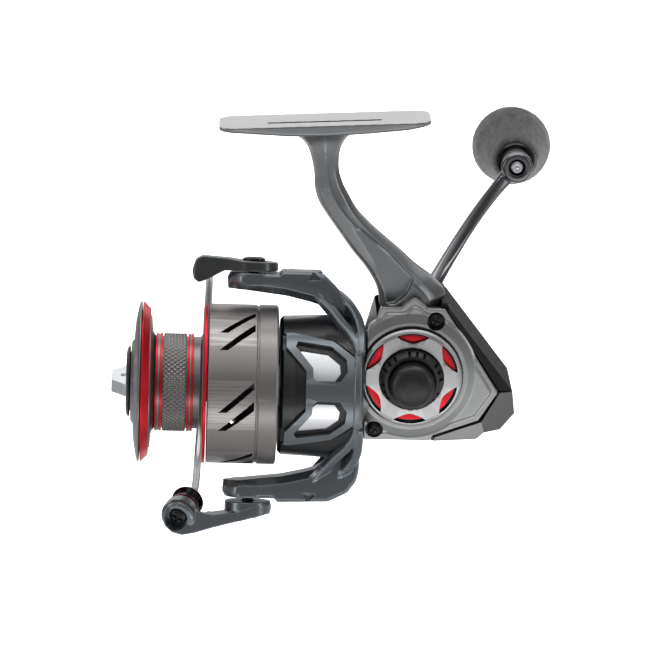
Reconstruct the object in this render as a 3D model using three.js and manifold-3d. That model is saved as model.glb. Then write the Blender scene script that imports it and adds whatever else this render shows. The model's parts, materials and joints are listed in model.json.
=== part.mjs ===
// Fixed-spool (spinning) fishing reel, millimetres, +Z up.
//
// Part frame: the origin is the middle of the flat rod seat on top of the
// foot. +Z is out of that seat, +X runs towards the back of the reel (away
// from the spool), +Y is the side the handle is on.
//
// Reel frame: the spool, shaft, pinion and rotor share one axis, the reel
// frame's X axis, with +X towards the back. The reel frame hangs under the
// foot and is pitched by AXIS_TILT, so the spool points slightly upwards.

import * as THREE from "three";
import { mergeVertices } from "three/addons/utils/BufferGeometryUtils.js";
import Module from "manifold-3d";

const wasm = await Module();
wasm.setup();

// ---------------------------------------------------------------- dimensions
const DEG = Math.PI / 180;
const AXIS_TILT = 3.4 * DEG; // spool axis against the foot
const AXIS_BACK = 23.8; // handle axis behind the middle of the foot
const AXIS_DROP = 82.5; // spool axis under the rod seat

const FOOT_LENGTH = 60.8;
const FOOT_WIDTH = 14.6;
const FOOT_MIDDLE = 3.5; // thickness of the foot at the stem
const FOOT_END = 1.3; // thickness of the foot at its tips

const HANDLE_X = -1.3; // handle axis in the reel frame
const HANDLE_Z = 7.7;
const CRANK_RADIUS = 56.3; // handle axis to knob axis
const CRANK_ANGLE = 53.5 * DEG; // rest angle of the arm above the rear

const CASE_NEAR = -8.7; // open face of the main casting
const CASE_FAR = 11.5;
const COVER_IN = -9.0; // side cover, inner and outer faces
const COVER_OUT = -10.8;
const COVER_BOSS = -12.0;
const PLATE_R = 14.8;

const ROTOR_ROLL = -14 * DEG; // rest angle of the rotor about its axis
const DRUM_R = 20.9;
const DRUM_BACK = -15.3;
const DRUM_FRONT = -39.4;
const ARM_HALF = 6.8; // half width of a rotor arm
const PIVOT_X = -47.6; // bail pivots
const PIVOT_V = 33.0;

const SPOOL_R = 23.6;
const ARBOR_R = 13.5;
const SKIRT_R = 23.4;
const SKIRT_FRONT = -60.3;
const SKIRT_BACK = -40.0;
const SHAFT_R = 2.1;
const STROKE = 12; // travel of the spool shaft
const OSC_X = 11.6; // oscillation gear axis
const OSC_Z = -0.2;

const GEAR_TEETH = 31;
const PINION_TEETH = 5;
const SPUR_TEETH = 14;
const OSC_TEETH = 22;
const GEAR_R = 11.2;

const FACETS = 0.5; // share of the full number of facets round each turned shape

// ------------------------------------------------------------------- solids
const Y0 = new THREE.Vector3(0, 1, 0);

// A closed geometry as a manifold solid, faces turned outwards.
function solid(geometry, matrix) {
  let g = geometry.index ? geometry.toNonIndexed() : geometry.clone();
  for (const key of Object.keys(g.attributes))
    if (key !== "position") g.deleteAttribute(key);
  if (matrix) g.applyMatrix4(matrix);
  g = mergeVertices(g, 1e-4);
  const p = g.attributes.position.array;
  const ix = g.index.array;
  const tri = [];
  let volume = 0;
  for (let i = 0; i < ix.length; i += 3) {
    const [a, b, c] = [ix[i], ix[i + 1], ix[i + 2]];
    if (a === b || b === c || a === c) continue;
    tri.push(a, b, c);
    const [ax, ay, az] = [p[3 * a], p[3 * a + 1], p[3 * a + 2]];
    const [bx, by, bz] = [p[3 * b], p[3 * b + 1], p[3 * b + 2]];
    const [cx, cy, cz] = [p[3 * c], p[3 * c + 1], p[3 * c + 2]];
    volume +=
      ax * (by * cz - bz * cy) -
      ay * (bx * cz - bz * cx) +
      az * (bx * cy - by * cx);
  }
  if (volume < 0)
    for (let i = 0; i < tri.length; i += 3)
      [tri[i + 1], tri[i + 2]] = [tri[i + 2], tri[i + 1]];
  return new wasm.Manifold(
    new wasm.Mesh({
      numProp: 3,
      vertProperties: new Float32Array(p),
      triVerts: new Uint32Array(tri),
    }),
  );
}

const M4 = () => new THREE.Matrix4();
const moved = (x, y, z) => M4().makeTranslation(x, y, z);
const LATHE_X = M4().makeRotationZ(-Math.PI / 2);
const LATHE_Z = M4().makeRotationX(Math.PI / 2);

// Solid of revolution from [height, radius] pairs; a profile that leaves the
// axis closes on itself.
function lathe(profile, segments, matrix) {
  const pts = profile.map(([h, r]) => new THREE.Vector2(Math.max(r, 0), h));
  if (profile[0][1] > 0 || profile[profile.length - 1][1] > 0)
    pts.push(pts[0].clone());
  return solid(
    new THREE.LatheGeometry(pts, Math.max(8, Math.round(segments * FACETS))),
    matrix,
  );
}
const latheX = (profile, segments, y = 0, z = 0) =>
  lathe(profile, segments, moved(0, y, z).multiply(LATHE_X));
const latheY = (profile, segments, x = 0, z = 0) =>
  lathe(profile, segments, moved(x, 0, z));
const latheZ = (profile, segments, x = 0, y = 0) =>
  lathe(profile, segments, moved(x, y, 0).multiply(LATHE_Z));
const rod = (axis, r, a, b, seg, p = 0, q = 0) =>
  ({ x: latheX, y: latheY, z: latheZ })[axis](
    [
      [a, 0],
      [a, r],
      [b, r],
      [b, 0],
    ],
    seg,
    p,
    q,
  );
const ring = (axis, r0, r1, a, b, seg, p = 0, q = 0) =>
  ({ x: latheX, y: latheY, z: latheZ })[axis](
    [
      [a, r0],
      [a, r1],
      [b, r1],
      [b, r0],
    ],
    seg,
    p,
    q,
  );

function shapeOf(points, holes = []) {
  const s = new THREE.Shape(points.map(([a, b]) => new THREE.Vector2(a, b)));
  for (const h of holes)
    s.holes.push(new THREE.Path(h.map(([a, b]) => new THREE.Vector2(a, b))));
  return s;
}
function extruded(points, depth, holes, bevel, bevelSegments = 2) {
  return new THREE.ExtrudeGeometry(shapeOf(points, holes), {
    depth: depth - 2 * bevel,
    steps: 1,
    curveSegments: 6,
    bevelEnabled: bevel > 0,
    bevelThickness: bevel,
    bevelSize: bevel,
    bevelOffset: -bevel,
    bevelSegments,
  });
}
// Outline in (X, Z), thickness along Y from y0 to y1.
function prismY(points, y0, y1, { holes = [], bevel = 0, segs = 2 } = {}) {
  const g = extruded(points, y1 - y0, holes, bevel, segs);
  return solid(
    g,
    moved(0, y1 - bevel, 0).multiply(M4().makeRotationX(Math.PI / 2)),
  );
}
// Outline in (Y, Z), thickness along X.
function prismX(points, x0, x1, { holes = [], bevel = 0 } = {}) {
  const g = extruded(points, x1 - x0, holes, bevel);
  return solid(
    g,
    M4().set(0, 0, 1, x0 + bevel, 1, 0, 0, 0, 0, 1, 0, 0, 0, 0, 0, 1),
  );
}
// Outline in (X, Y), thickness along Z.
function prismZ(points, z0, z1, { holes = [], bevel = 0 } = {}) {
  const g = extruded(points, z1 - z0, holes, bevel);
  return solid(g, moved(0, 0, z0 + bevel));
}
function box(x0, x1, y0, y1, z0, z1) {
  return solid(
    new THREE.BoxGeometry(x1 - x0, y1 - y0, z1 - z0),
    moved((x0 + x1) / 2, (y0 + y1) / 2, (z0 + z1) / 2),
  );
}
const circle = (cx, cy, r, n, a0 = 0) =>
  Array.from({ length: n }, (_, i) => [
    cx + r * Math.cos(a0 + (2 * Math.PI * i) / n),
    cy + r * Math.sin(a0 + (2 * Math.PI * i) / n),
  ]);

// Skin through rings of equally many points, with a fan on each end.
function loft(rings) {
  const n = rings[0].length;
  const position = [];
  const push = (v) => position.push(v.x, v.y, v.z);
  for (let i = 0; i + 1 < rings.length; i++)
    for (let j = 0; j < n; j++) {
      const a = rings[i][j];
      const b = rings[i][(j + 1) % n];
      const c = rings[i + 1][(j + 1) % n];
      const d = rings[i + 1][j];
      [a, b, c, a, c, d].forEach(push);
    }
  for (const [r, flip] of [
    [rings[0], true],
    [rings[rings.length - 1], false],
  ]) {
    const m = r
      .reduce((s, v) => s.add(v), new THREE.Vector3())
      .multiplyScalar(1 / n);
    for (let j = 0; j < n; j++)
      (flip ? [m, r[(j + 1) % n], r[j]] : [m, r[j], r[(j + 1) % n]]).forEach(
        push,
      );
  }
  const g = new THREE.BufferGeometry();
  g.setAttribute("position", new THREE.Float32BufferAttribute(position, 3));
  return g;
}
// Superellipse ring about centre c with half axes u and v.
function oval(c, u, v, n, power = 1) {
  return Array.from({ length: n }, (_, i) => {
    const a = (2 * Math.PI * i) / n;
    const f = (t) => Math.sign(t) * Math.abs(t) ** power;
    return c
      .clone()
      .addScaledVector(u, f(Math.cos(a)))
      .addScaledVector(v, f(Math.sin(a)));
  });
}
// Wedge over a polygon of [x, angle] pairs round the X axis, the angle
// measured from -Y towards +Z: it cuts windows into drums and skirts.
function radial(polygon, r0 = 4, r1 = 60) {
  const at = ([x, a], r) =>
    new THREE.Vector3(x, -r * Math.cos(a * DEG), r * Math.sin(a * DEG));
  const flat = polygon.map(([x, a]) => new THREE.Vector2(x, a));
  if (THREE.ShapeUtils.area(flat) < 0) {
    flat.reverse();
    polygon = polygon.slice().reverse();
  }
  const faces = THREE.ShapeUtils.triangulateShape(flat, []);
  const position = [];
  const push = (v) => position.push(v.x, v.y, v.z);
  for (const [a, b, c] of faces) {
    [at(polygon[a], r1), at(polygon[b], r1), at(polygon[c], r1)].forEach(push);
    [at(polygon[a], r0), at(polygon[c], r0), at(polygon[b], r0)].forEach(push);
  }
  polygon.forEach((p, i) => {
    const q = polygon[(i + 1) % polygon.length];
    [at(p, r0), at(q, r0), at(q, r1)].forEach(push);
    [at(p, r0), at(q, r1), at(p, r1)].forEach(push);
  });
  const g = new THREE.BufferGeometry();
  g.setAttribute("position", new THREE.Float32BufferAttribute(position, 3));
  return solid(g);
}
// Round bar along a smooth curve.
function bar(points, r, steps, sides, closed = false) {
  const curve = new THREE.CatmullRomCurve3(
    points.map((p) => new THREE.Vector3(...p)),
    closed,
    "centripetal",
  );
  return solid(
    new THREE.ExtrudeGeometry(shapeOf(circle(0, 0, r, sides)), {
      steps,
      extrudePath: curve,
      bevelEnabled: false,
    }),
  );
}
// Cylinder (or cone) from point a to point b.
function strut(a, b, r0, r1, n) {
  const A = new THREE.Vector3(...a);
  const B = new THREE.Vector3(...b);
  const d = B.clone().sub(A);
  const g = new THREE.CylinderGeometry(r1, r0, d.length(), n);
  const q = new THREE.Quaternion().setFromUnitVectors(
    Y0,
    d.clone().normalize(),
  );
  return solid(
    g,
    M4().compose(
      A.add(B).multiplyScalar(0.5),
      q,
      new THREE.Vector3(1, 1, 1),
    ),
  );
}
// Toothed outline: n teeth between root and tip radii.
function gearOutline(cx, cy, root, tip, n, phase = 0, duty = 0.42) {
  const pts = [];
  for (let i = 0; i < n; i++) {
    const a = phase + (2 * Math.PI * i) / n;
    const w = (2 * Math.PI) / n;
    for (const [f, r] of [
      [-0.5 * duty - 0.1, root],
      [-0.5 * duty + 0.08, tip],
      [0.5 * duty - 0.08, tip],
      [0.5 * duty + 0.1, root],
    ])
      pts.push([cx + r * Math.cos(a + f * w), cy + r * Math.sin(a + f * w)]);
  }
  return pts;
}

// ---------------------------------------------------------------- materials
const paint = (color, roughness, metalness) => ({
  color,
  roughness,
  metalness,
});
const GUNMETAL = paint(0x55585c, 0.42, 0.7);
const ROTOR_GREY = paint(0x5a5f66, 0.42, 0.7);
const COVER_GREY = paint(0x606366, 0.4, 0.75);
const BLACK = paint(0x1a1b1d, 0.5, 0.2);
const DARK = paint(0x2b2d30, 0.45, 0.4);
const RED = paint(0xc3202a, 0.35, 0.6);
const SILVER = paint(0xc9ccd0, 0.25, 0.95);
const STEEL = paint(0x9a9da1, 0.3, 0.95);
const BRASS = paint(0xb08a45, 0.35, 0.9);
const ANODISED = paint(0x595450, 0.4, 0.8);
const BLACK_CHROME = paint(0x26282b, 0.18, 0.95);
const FOAM = paint(0x3a3b3d, 0.95, 0);
const FELT = paint(0x2c2a28, 1, 0);

const reel = new THREE.Group(); // reel frame
reel.rotation.y = AXIS_TILT;
reel.position.set(AXIS_BACK, 0, -AXIS_DROP);
const rotor = new THREE.Group(); // rolled about the spool axis
rotor.rotation.x = ROTOR_ROLL;
reel.add(rotor);
const part = new THREE.Group();
part.add(reel);
const REEL_TO_PART = moved(AXIS_BACK, 0, -AXIS_DROP).multiply(
  M4().makeRotationY(AXIS_TILT),
);

function add(group, name, body, finish) {
  const m = body.getMesh();
  const n = m.numProp;
  const v = new Float32Array(m.numVert * 3);
  for (let i = 0; i < m.numVert; i++)
    v.set(m.vertProperties.subarray(i * n, i * n + 3), i * 3);
  const g = new THREE.BufferGeometry();
  g.setAttribute("position", new THREE.BufferAttribute(v, 3));
  g.setIndex(new THREE.BufferAttribute(new Uint32Array(m.triVerts), 1));
  g.computeVertexNormals();
  const mesh = new THREE.Mesh(
    g,
    new THREE.MeshStandardMaterial({ ...finish, flatShading: true }),
  );
  mesh.name = name;
  group.add(mesh);
}
const V3 = (x, y, z) => new THREE.Vector3(x, y, z);
const elements = (matrix) => matrix.elements; // column major
const place = (body, matrix) => {
  const e = elements(matrix);
  return body.transform([...e]);
};

// ================================================================ main body
// Side outline of the gear case in front of the rear trim, reel frame.
const CASE = [
  [-14.6, -12.6],
  [5.6, -12.6],
  [6.1, -11.1],
  [19.3, -6.0],
  [24.4, 2.7],
  [14.0, 18.8],
  [8.1, 27.5],
  [2.0, 30.0],
  [-10.7, 28.4],
  [-11.4, 26.5],
  [-12.7, 21.9],
  [-14.2, 16],
  [-14.6, 10.8],
];
const CASE_REAR = [
  [3.0, -11.3],
  [17.6, -10.8],
  [20.1, -8.3],
  [24.8, -7.4],
  [27.8, -3.6],
  [27.0, 2.2],
  [20.0, 2.4],
  [8.0, 0],
];
const HOLLOW = [
  [-13.0, -11.2],
  [4.4, -11.2],
  [4.9, -9.9],
  [18.3, -4.6],
  [22.6, 2.6],
  [12.6, 18.1],
  [7.2, 26.0],
  [-9.4, 26.2],
  [-10.1, 24.5],
  [-11.3, 20],
  [-12.8, 14],
  [-13.0, 10],
];
const HOLLOW_REAR = [
  [4.8, -9.9],
  [17.2, -9.6],
  [19.6, -7.1],
  [24.2, -6.3],
  [26.3, -3.2],
  [25.8, 1.2],
  [14, 1.2],
  [8, -5],
];

{
  // Foot: a thin plate, thicker towards the stem, with rounded tips.
  const h = FOOT_LENGTH / 2;
  const w = FOOT_WIDTH / 2;
  const side = [
    [-h, 0],
    [-h, -FOOT_END],
    [-20, -2.3],
    [-10.4, -3.2],
    [0, -FOOT_MIDDLE],
    [11.9, -3.1],
    [23.3, -2.4],
    [h, -FOOT_END],
    [h, 0],
  ];
  const plan = [
    [-h, -w + 2.6],
    [-h + 0.9, -w + 1.0],
    [-h + 2.8, -w + 0.1],
    [-h + 6, -w],
    [h - 6, -w],
    [h - 2.8, -w + 0.1],
    [h - 0.9, -w + 1.0],
    [h, -w + 2.6],
    [h, w - 2.6],
    [h - 0.9, w - 1.0],
    [h - 2.8, w - 0.1],
    [h - 6, w],
    [-h + 6, w],
    [-h + 2.8, w - 0.1],
    [-h + 0.9, w - 1.0],
    [-h, w - 2.6],
  ];
  let foot = prismY(side, -w, w).intersect(prismZ(plan, -6, 0));
  // Shallow relief channel in the rod seat, beside its centre line.
  foot = foot.subtract(box(-16.5, 16.2, -2.9, -1.5, -0.7, 1));

  // Stem: lofted from the foot down to the gear case.
  const R = (x, z) => V3(x, 0, z).applyMatrix4(REEL_TO_PART);
  const stations = [
    [V3(-12.6, 0, -2.7), V3(12.8, 0, -2.7), 6.8],
    [V3(-9.6, 0, -3.9), V3(9.4, 0, -3.7), 6.4],
    [V3(-6.9, 0, -5.6), V3(6.6, 0, -5.2), 5.5],
    [V3(-5.2, 0, -7.8), V3(4.9, 0, -7.4), 4.8],
    [V3(-4.3, 0, -10.3), V3(4.0, 0, -9.9), 4.4],
    [R(-31.2, 65.0), R(-24.0, 66.0), 4.3],
    [R(-30.9, 61.0), R(-22.8, 62.2), 4.4],
    [R(-29.8, 57.0), R(-20.9, 58.6), 4.6],
    [R(-27.6, 53.3), R(-18.9, 55.2), 4.8],
    [R(-23.8, 48.0), R(-15.4, 51.3), 5.0],
    [R(-19.5, 42.1), R(-10.6, 47.0), 5.3],
    [R(-15.5, 37.3), R(-5.6, 42.8), 5.8],
    [R(-12.7, 33.0), R(-0.6, 38.3), 7.1],
    [R(-11.4, 29.6), R(4.2, 34.5), 8.7],
    [R(-11.0, 26.5), R(8.2, 30.0), 10.2],
    [R(-10.6, 24.4), R(7.7, 26.0), 10.5],
  ];
  const stem = solid(
    loft(
      stations.map(([l, r, half]) =>
        oval(
          l.clone().add(r).multiplyScalar(0.5),
          r.clone().sub(l).multiplyScalar(0.5),
          V3(0, half, 0),
          20,
          0.8,
        ),
      ),
    ),
  );
  // Pockets on both flanks of the lower stem.
  const pocket = [
    [-20.6, 50.5],
    [-17.0, 49.6],
    [-8.0, 41.9],
    [-1.4, 35.4],
    [-3.2, 31.2],
    [-8.2, 33.0],
    [-12.6, 39.4],
    [-16.8, 44.8],
  ];
  let body = prismY(CASE, CASE_NEAR, CASE_FAR, { bevel: 0 });
  // Rounded far edges.
  body = body.intersect(
    prismY(CASE, -30, CASE_FAR, { bevel: 1.8, segs: 2 }),
  );
  // The case narrows towards the stem.
  body = body.subtract(
    prismX(
      [
        [7.4, 34],
        [CASE_FAR + 0.2, 23.5],
        [20, 23.5],
        [20, 34],
      ],
      -20,
      20,
    ),
  );
  body = body.add(prismY(CASE_REAR, CASE_NEAR, 8.7));
  // Bearing boss for the handle side.
  body = body.add(
    latheY(
      [
        [9.0, 0],
        [9.0, 10.4],
        [12.4, 10.4],
        [13.4, 9.6],
        [13.9, 8.2],
        [13.9, 0],
      ],
      32,
      HANDLE_X,
      HANDLE_Z,
    ),
  );
  // Front collar that carries the pinion bearing and the clutch.
  body = body.add(rod("x", 12.4, -26.9, -13.2, 36));
  // Round shoulder that closes the back of the rotor.
  body = body.add(
    latheX(
      [
        [-14.9, 0],
        [-14.9, 16.4],
        [-14.0, 17.2],
        [-13.4, 17.2],
        [-13.4, 0],
      ],
      36,
    ).intersect(box(-16, -13, -8.7, 11.5, -13, 17.5)),
  );
  body = body.subtract(prismY(HOLLOW, -30, 9.3));
  body = body.subtract(prismY(HOLLOW_REAR, -30, 7.2));
  // Screw posts, oscillation gear post.
  body = body.add(rod("y", 2.5, CASE_NEAR, 9.8, 14, 5.3, 24.4));
  body = body.add(rod("y", 2.4, CASE_NEAR, 9.8, 14, -11.4, -9.2));
  body = body.add(rod("y", 2.0, 4.1, 9.8, 16, OSC_X, OSC_Z));
  body = body.subtract(rod("y", 1.5, CASE_NEAR - 1, -1.5, 12, 5.3, 24.4));
  body = body.subtract(rod("y", 1.5, CASE_NEAR - 1, -1.5, 12, -11.4, -9.2));
  // Bores: clutch, bearing, handle bearing, guide rod seats.
  body = body.subtract(rod("x", 9.5, -27.5, -18.9, 32));
  body = body.subtract(rod("x", 7.7, -19.5, -12.0, 32));
  body = body.subtract(rod("y", 5.9, 8.4, 11.7, 28, HANDLE_X, HANDLE_Z));
  body = body.subtract(rod("y", 3.9, 11.0, 15.0, 24, HANDLE_X, HANDLE_Z));
  body = body.subtract(rod("x", 1.4, -14.2, 24.0, 10, -1.0, -7.0));
  let whole = place(body, REEL_TO_PART);
  let upper = foot.add(stem);
  // Keep the inside of the case free of the stem's root.
  upper = upper.subtract(
    place(prismY(HOLLOW, -30, 9.3), REEL_TO_PART),
  );
  for (const [a, b] of [
    [-20, -4.6],
    [4.6, 20],
  ])
    upper = upper.subtract(place(prismY(pocket, a, b), REEL_TO_PART));
  whole = whole.add(upper);
  // A clean parting face for the side cover.
  const COVER_ROOM = [
    [-14.9, -13.2],
    [6.2, -13.2],
    [6.6, -11.2],
    [19.7, -6.4],
    [25.0, 2.9],
    [14.2, 19.4],
    [8.0, 28.2],
    [3.1, 28.4],
    [0.8, 30.6],
    [-1.2, 31.8],
    [-3.7, 30.1],
    [-5.1, 28.5],
    [-12.2, 28.5],
    [-15, 20],
  ];
  whole = whole.subtract(
    place(prismY(COVER_ROOM, -30, CASE_NEAR), REEL_TO_PART),
  );
  add(part, "main_body", whole, GUNMETAL);
}

// ============================================================== side cover
{
  const outline = [
    [-14.5, -12.5],
    [5.3, -12.4],
    [5.8, -10.9],
    [19.0, -5.9],
    [24.3, 2.9],
    [13.95, 18.85],
    [7.9, 27.85],
    [2.8, 28.0],
    [0.6, 30.2],
    [-1.2, 31.3],
    [-3.4, 29.7],
    [-4.9, 28.1],
    [-10.8, 28.1],
    [-11.4, 26.3],
    [-12.6, 21.7],
    [-14.0, 16],
    [-14.5, 10.8],
  ];
  let cover = prismY(outline, COVER_OUT, COVER_IN + 4, {
    bevel: 1.0,
    segs: 1,
  }).intersect(box(-30, 40, -20, COVER_IN, -30, 50));
  cover = cover.add(
    latheY(
      [
        [COVER_IN, 0],
        [COVER_IN, 17.0],
        [COVER_OUT, 17.0],
        [COVER_BOSS, 15.9],
        [COVER_BOSS, 0],
      ],
      40,
      HANDLE_X,
      HANDLE_Z,
    ).intersect(box(-14.4, 40, -20, 0, -12.6, 30)),
  );
  cover = cover.subtract(
    rod("y", 5.9, -11.6, -7, 28, HANDLE_X, HANDLE_Z),
  );
  cover = cover.subtract(
    rod("y", 4.2, -14, -7, 24, HANDLE_X, HANDLE_Z),
  );
  for (const [x, z] of [
    [5.3, 24.4],
    [-11.4, -9.2],
  ]) {
    cover = cover.subtract(rod("y", 1.5, -14, -7, 12, x, z));
    cover = cover.subtract(rod("y", 2.3, -14, -10.0, 16, x, z));
  }
  add(reel, "side_cover", cover, COVER_GREY);
  const screw = (x, z) =>
    rod("y", 2.0, -11.0, -10.3, 16, x, z)
      .add(rod("y", 1.2, -10.4, -3.0, 12, x, z))
      .subtract(box(x - 1.2, x + 1.2, -12, -10.7, z - 0.25, z + 0.25));
  add(reel, "cover_screw_top", screw(5.3, 24.4), BLACK);
  add(reel, "cover_screw_front", screw(-11.4, -9.2), BLACK);
}

// Side plate with six lens windows over a coloured disc, and the dust cap.
{
  const c = [HANDLE_X, HANDLE_Z];
  let plate = latheY(
    [
      [-12.3, 13.9],
      [-12.3, PLATE_R],
      [-13.5, PLATE_R],
      [-14.1, 14.2],
      [-14.3, 13.0],
      [-14.3, 9.3],
      [-13.5, 9.3],
      [-13.5, 13.9],
    ],
    42,
    ...c,
  );
  for (let k = 0; k < 6; k++) {
    const a = (90 + 60 * k) * DEG;
    const lens = [];
    for (let i = 0; i <= 6; i++) {
      const t = -1 + i / 3;
      lens.push([12.9 - 0.5 * t * t, a + t * 17 * DEG]);
    }
    for (let i = 5; i >= 1; i--) {
      const t = -1 + i / 3;
      lens.push([10.1 + 1.4 * t * t, a + t * 15 * DEG]);
    }
    plate = plate.subtract(
      prismY(
        lens.map(([r, b]) => [c[0] + r * Math.cos(b), c[1] + r * Math.sin(b)]),
        -16,
        -12.9,
      ),
    );
  }
  add(reel, "side_plate", plate, COVER_GREY);
  add(
    reel,
    "side_trim_disc",
    ring("y", 5.4, 13.5, -13.1, -12.3, 32, ...c),
    RED,
  );
  let cap = latheY(
    [
      [-13.4, 6.8],
      [-13.4, 8.9],
      [-17.4, 8.9],
      [-18.1, 8.2],
      [-18.1, 6.8],
    ],
    36,
    ...c,
  );
  for (let k = 0; k < 12; k++) {
    const a = (15 + 30 * k) * DEG;
    const [ux, uz] = [Math.cos(a), Math.sin(a)];
    const q = (r, t) => [c[0] + r * ux - t * uz, c[1] + r * uz + t * ux];
    cap = cap.subtract(
      prismY(
        [q(7.5, -0.5), q(10, -0.5), q(10, 0.5), q(7.5, 0.5)],
        -20,
        -15.6,
      ),
    );
  }
  add(reel, "dust_cap_ring", cap, DARK);
  add(
    reel,
    "dust_cap_dome",
    latheY(
      [
        [-12.4, 0],
        [-12.4, 5.0],
        [-13.4, 5.0],
        [-13.4, 6.4],
        [-21.6, 6.4],
        [-22.7, 5.9],
        [-23.5, 4.6],
        [-24.0, 2.4],
        [-24.1, 0],
      ],
      32,
      ...c,
    ),
    BLACK,
  );
}

// Rear strip and rear guard.
{
  const strip = [
    [8.35, 27.7],
    [9.1, 28.2],
    [28.5, 3.5],
    [24.75, 3.35],
    [14.3, 19.0],
  ];
  add(
    reel,
    "rear_strip",
    prismY(strip, -10.8, 10.6, { bevel: 0.3, segs: 1 }),
    BLACK,
  );
  const outer = [
    [24.9, 3.0],
    [28.6, 3.2],
    [29.6, -4.0],
    [25.6, -8.9],
    [20.8, -9.8],
    [18.7, -12.0],
    [6.0, -12.6],
    [6.5, -11.3],
    [19.8, -6.3],
  ];
  const room = [
    [4.0, -11.6],
    [17.8, -11.1],
    [20.3, -8.6],
    [25.0, -7.7],
    [28.1, -3.7],
    [27.3, 2.5],
    [27.0, 4.5],
    [20.0, 4.5],
  ];
  add(
    reel,
    "rear_guard",
    prismY(outer, -11.0, 11.6, { bevel: 0.6, segs: 1 }).subtract(
      prismY(room, -9.0, 9.0),
    ),
    DARK,
  );
}

// ======================================================= bearings and drive
const H = [HANDLE_X, HANDLE_Z];
const bearing = (axis, ri, ro, a, b, seg, ...at) => {
  const s = Math.sign(b - a);
  return { x: latheX, y: latheY }[axis](
    [
      [a, ri],
      [a, ri + 0.8],
      [a + 0.4 * s, ri + 0.9],
      [a + 0.4 * s, ro - 0.9],
      [a, ro - 0.8],
      [a, ro],
      [b, ro],
      [b, ri],
    ],
    seg,
    ...at,
  );
};
add(
  reel,
  "drive_bearing_near",
  bearing("y", 3.5, 5.6, -11.3, -9.2, 24, ...H),
  STEEL,
);
add(
  reel,
  "drive_bearing_far",
  bearing("y", 3.5, 5.6, 10.9, 8.6, 24, ...H),
  STEEL,
);
add(reel, "pinion_bearing", bearing("x", 3.9, 7.4, -18.5, -14.5, 24), STEEL);
{
  // One-way clutch: a cage of rollers round the pinion sleeve.
  let clutch = latheX(
    [
      [-26.5, 5.2],
      [-26.5, 9.2],
      [-19.2, 9.2],
      [-19.2, 4.0],
      [-25.9, 4.0],
      [-25.9, 5.2],
    ],
    24,
  );
  for (let k = 0; k < 6; k++) {
    const a = (k * Math.PI) / 3;
    clutch = clutch.subtract(
      rod("x", 0.9, -28, -25.2, 10, 7.2 * Math.cos(a), 7.2 * Math.sin(a)),
    );
  }
  add(reel, "anti_reverse_clutch", clutch, STEEL);
  add(
    reel,
    "clutch_retainer",
    latheX(
      [
        [-28.3, 5.0],
        [-28.3, 11.4],
        [-27.9, 11.9],
        [-27.3, 11.9],
        [-27.3, 5.0],
      ],
      28,
    ),
    ALLOY(),
  );
  add(
    reel,
    "slider_guide_rod",
    rod("x", 1.1, -13.9, 23.6, 12, -1.0, -7.0),
    STEEL,
  );
}
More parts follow.
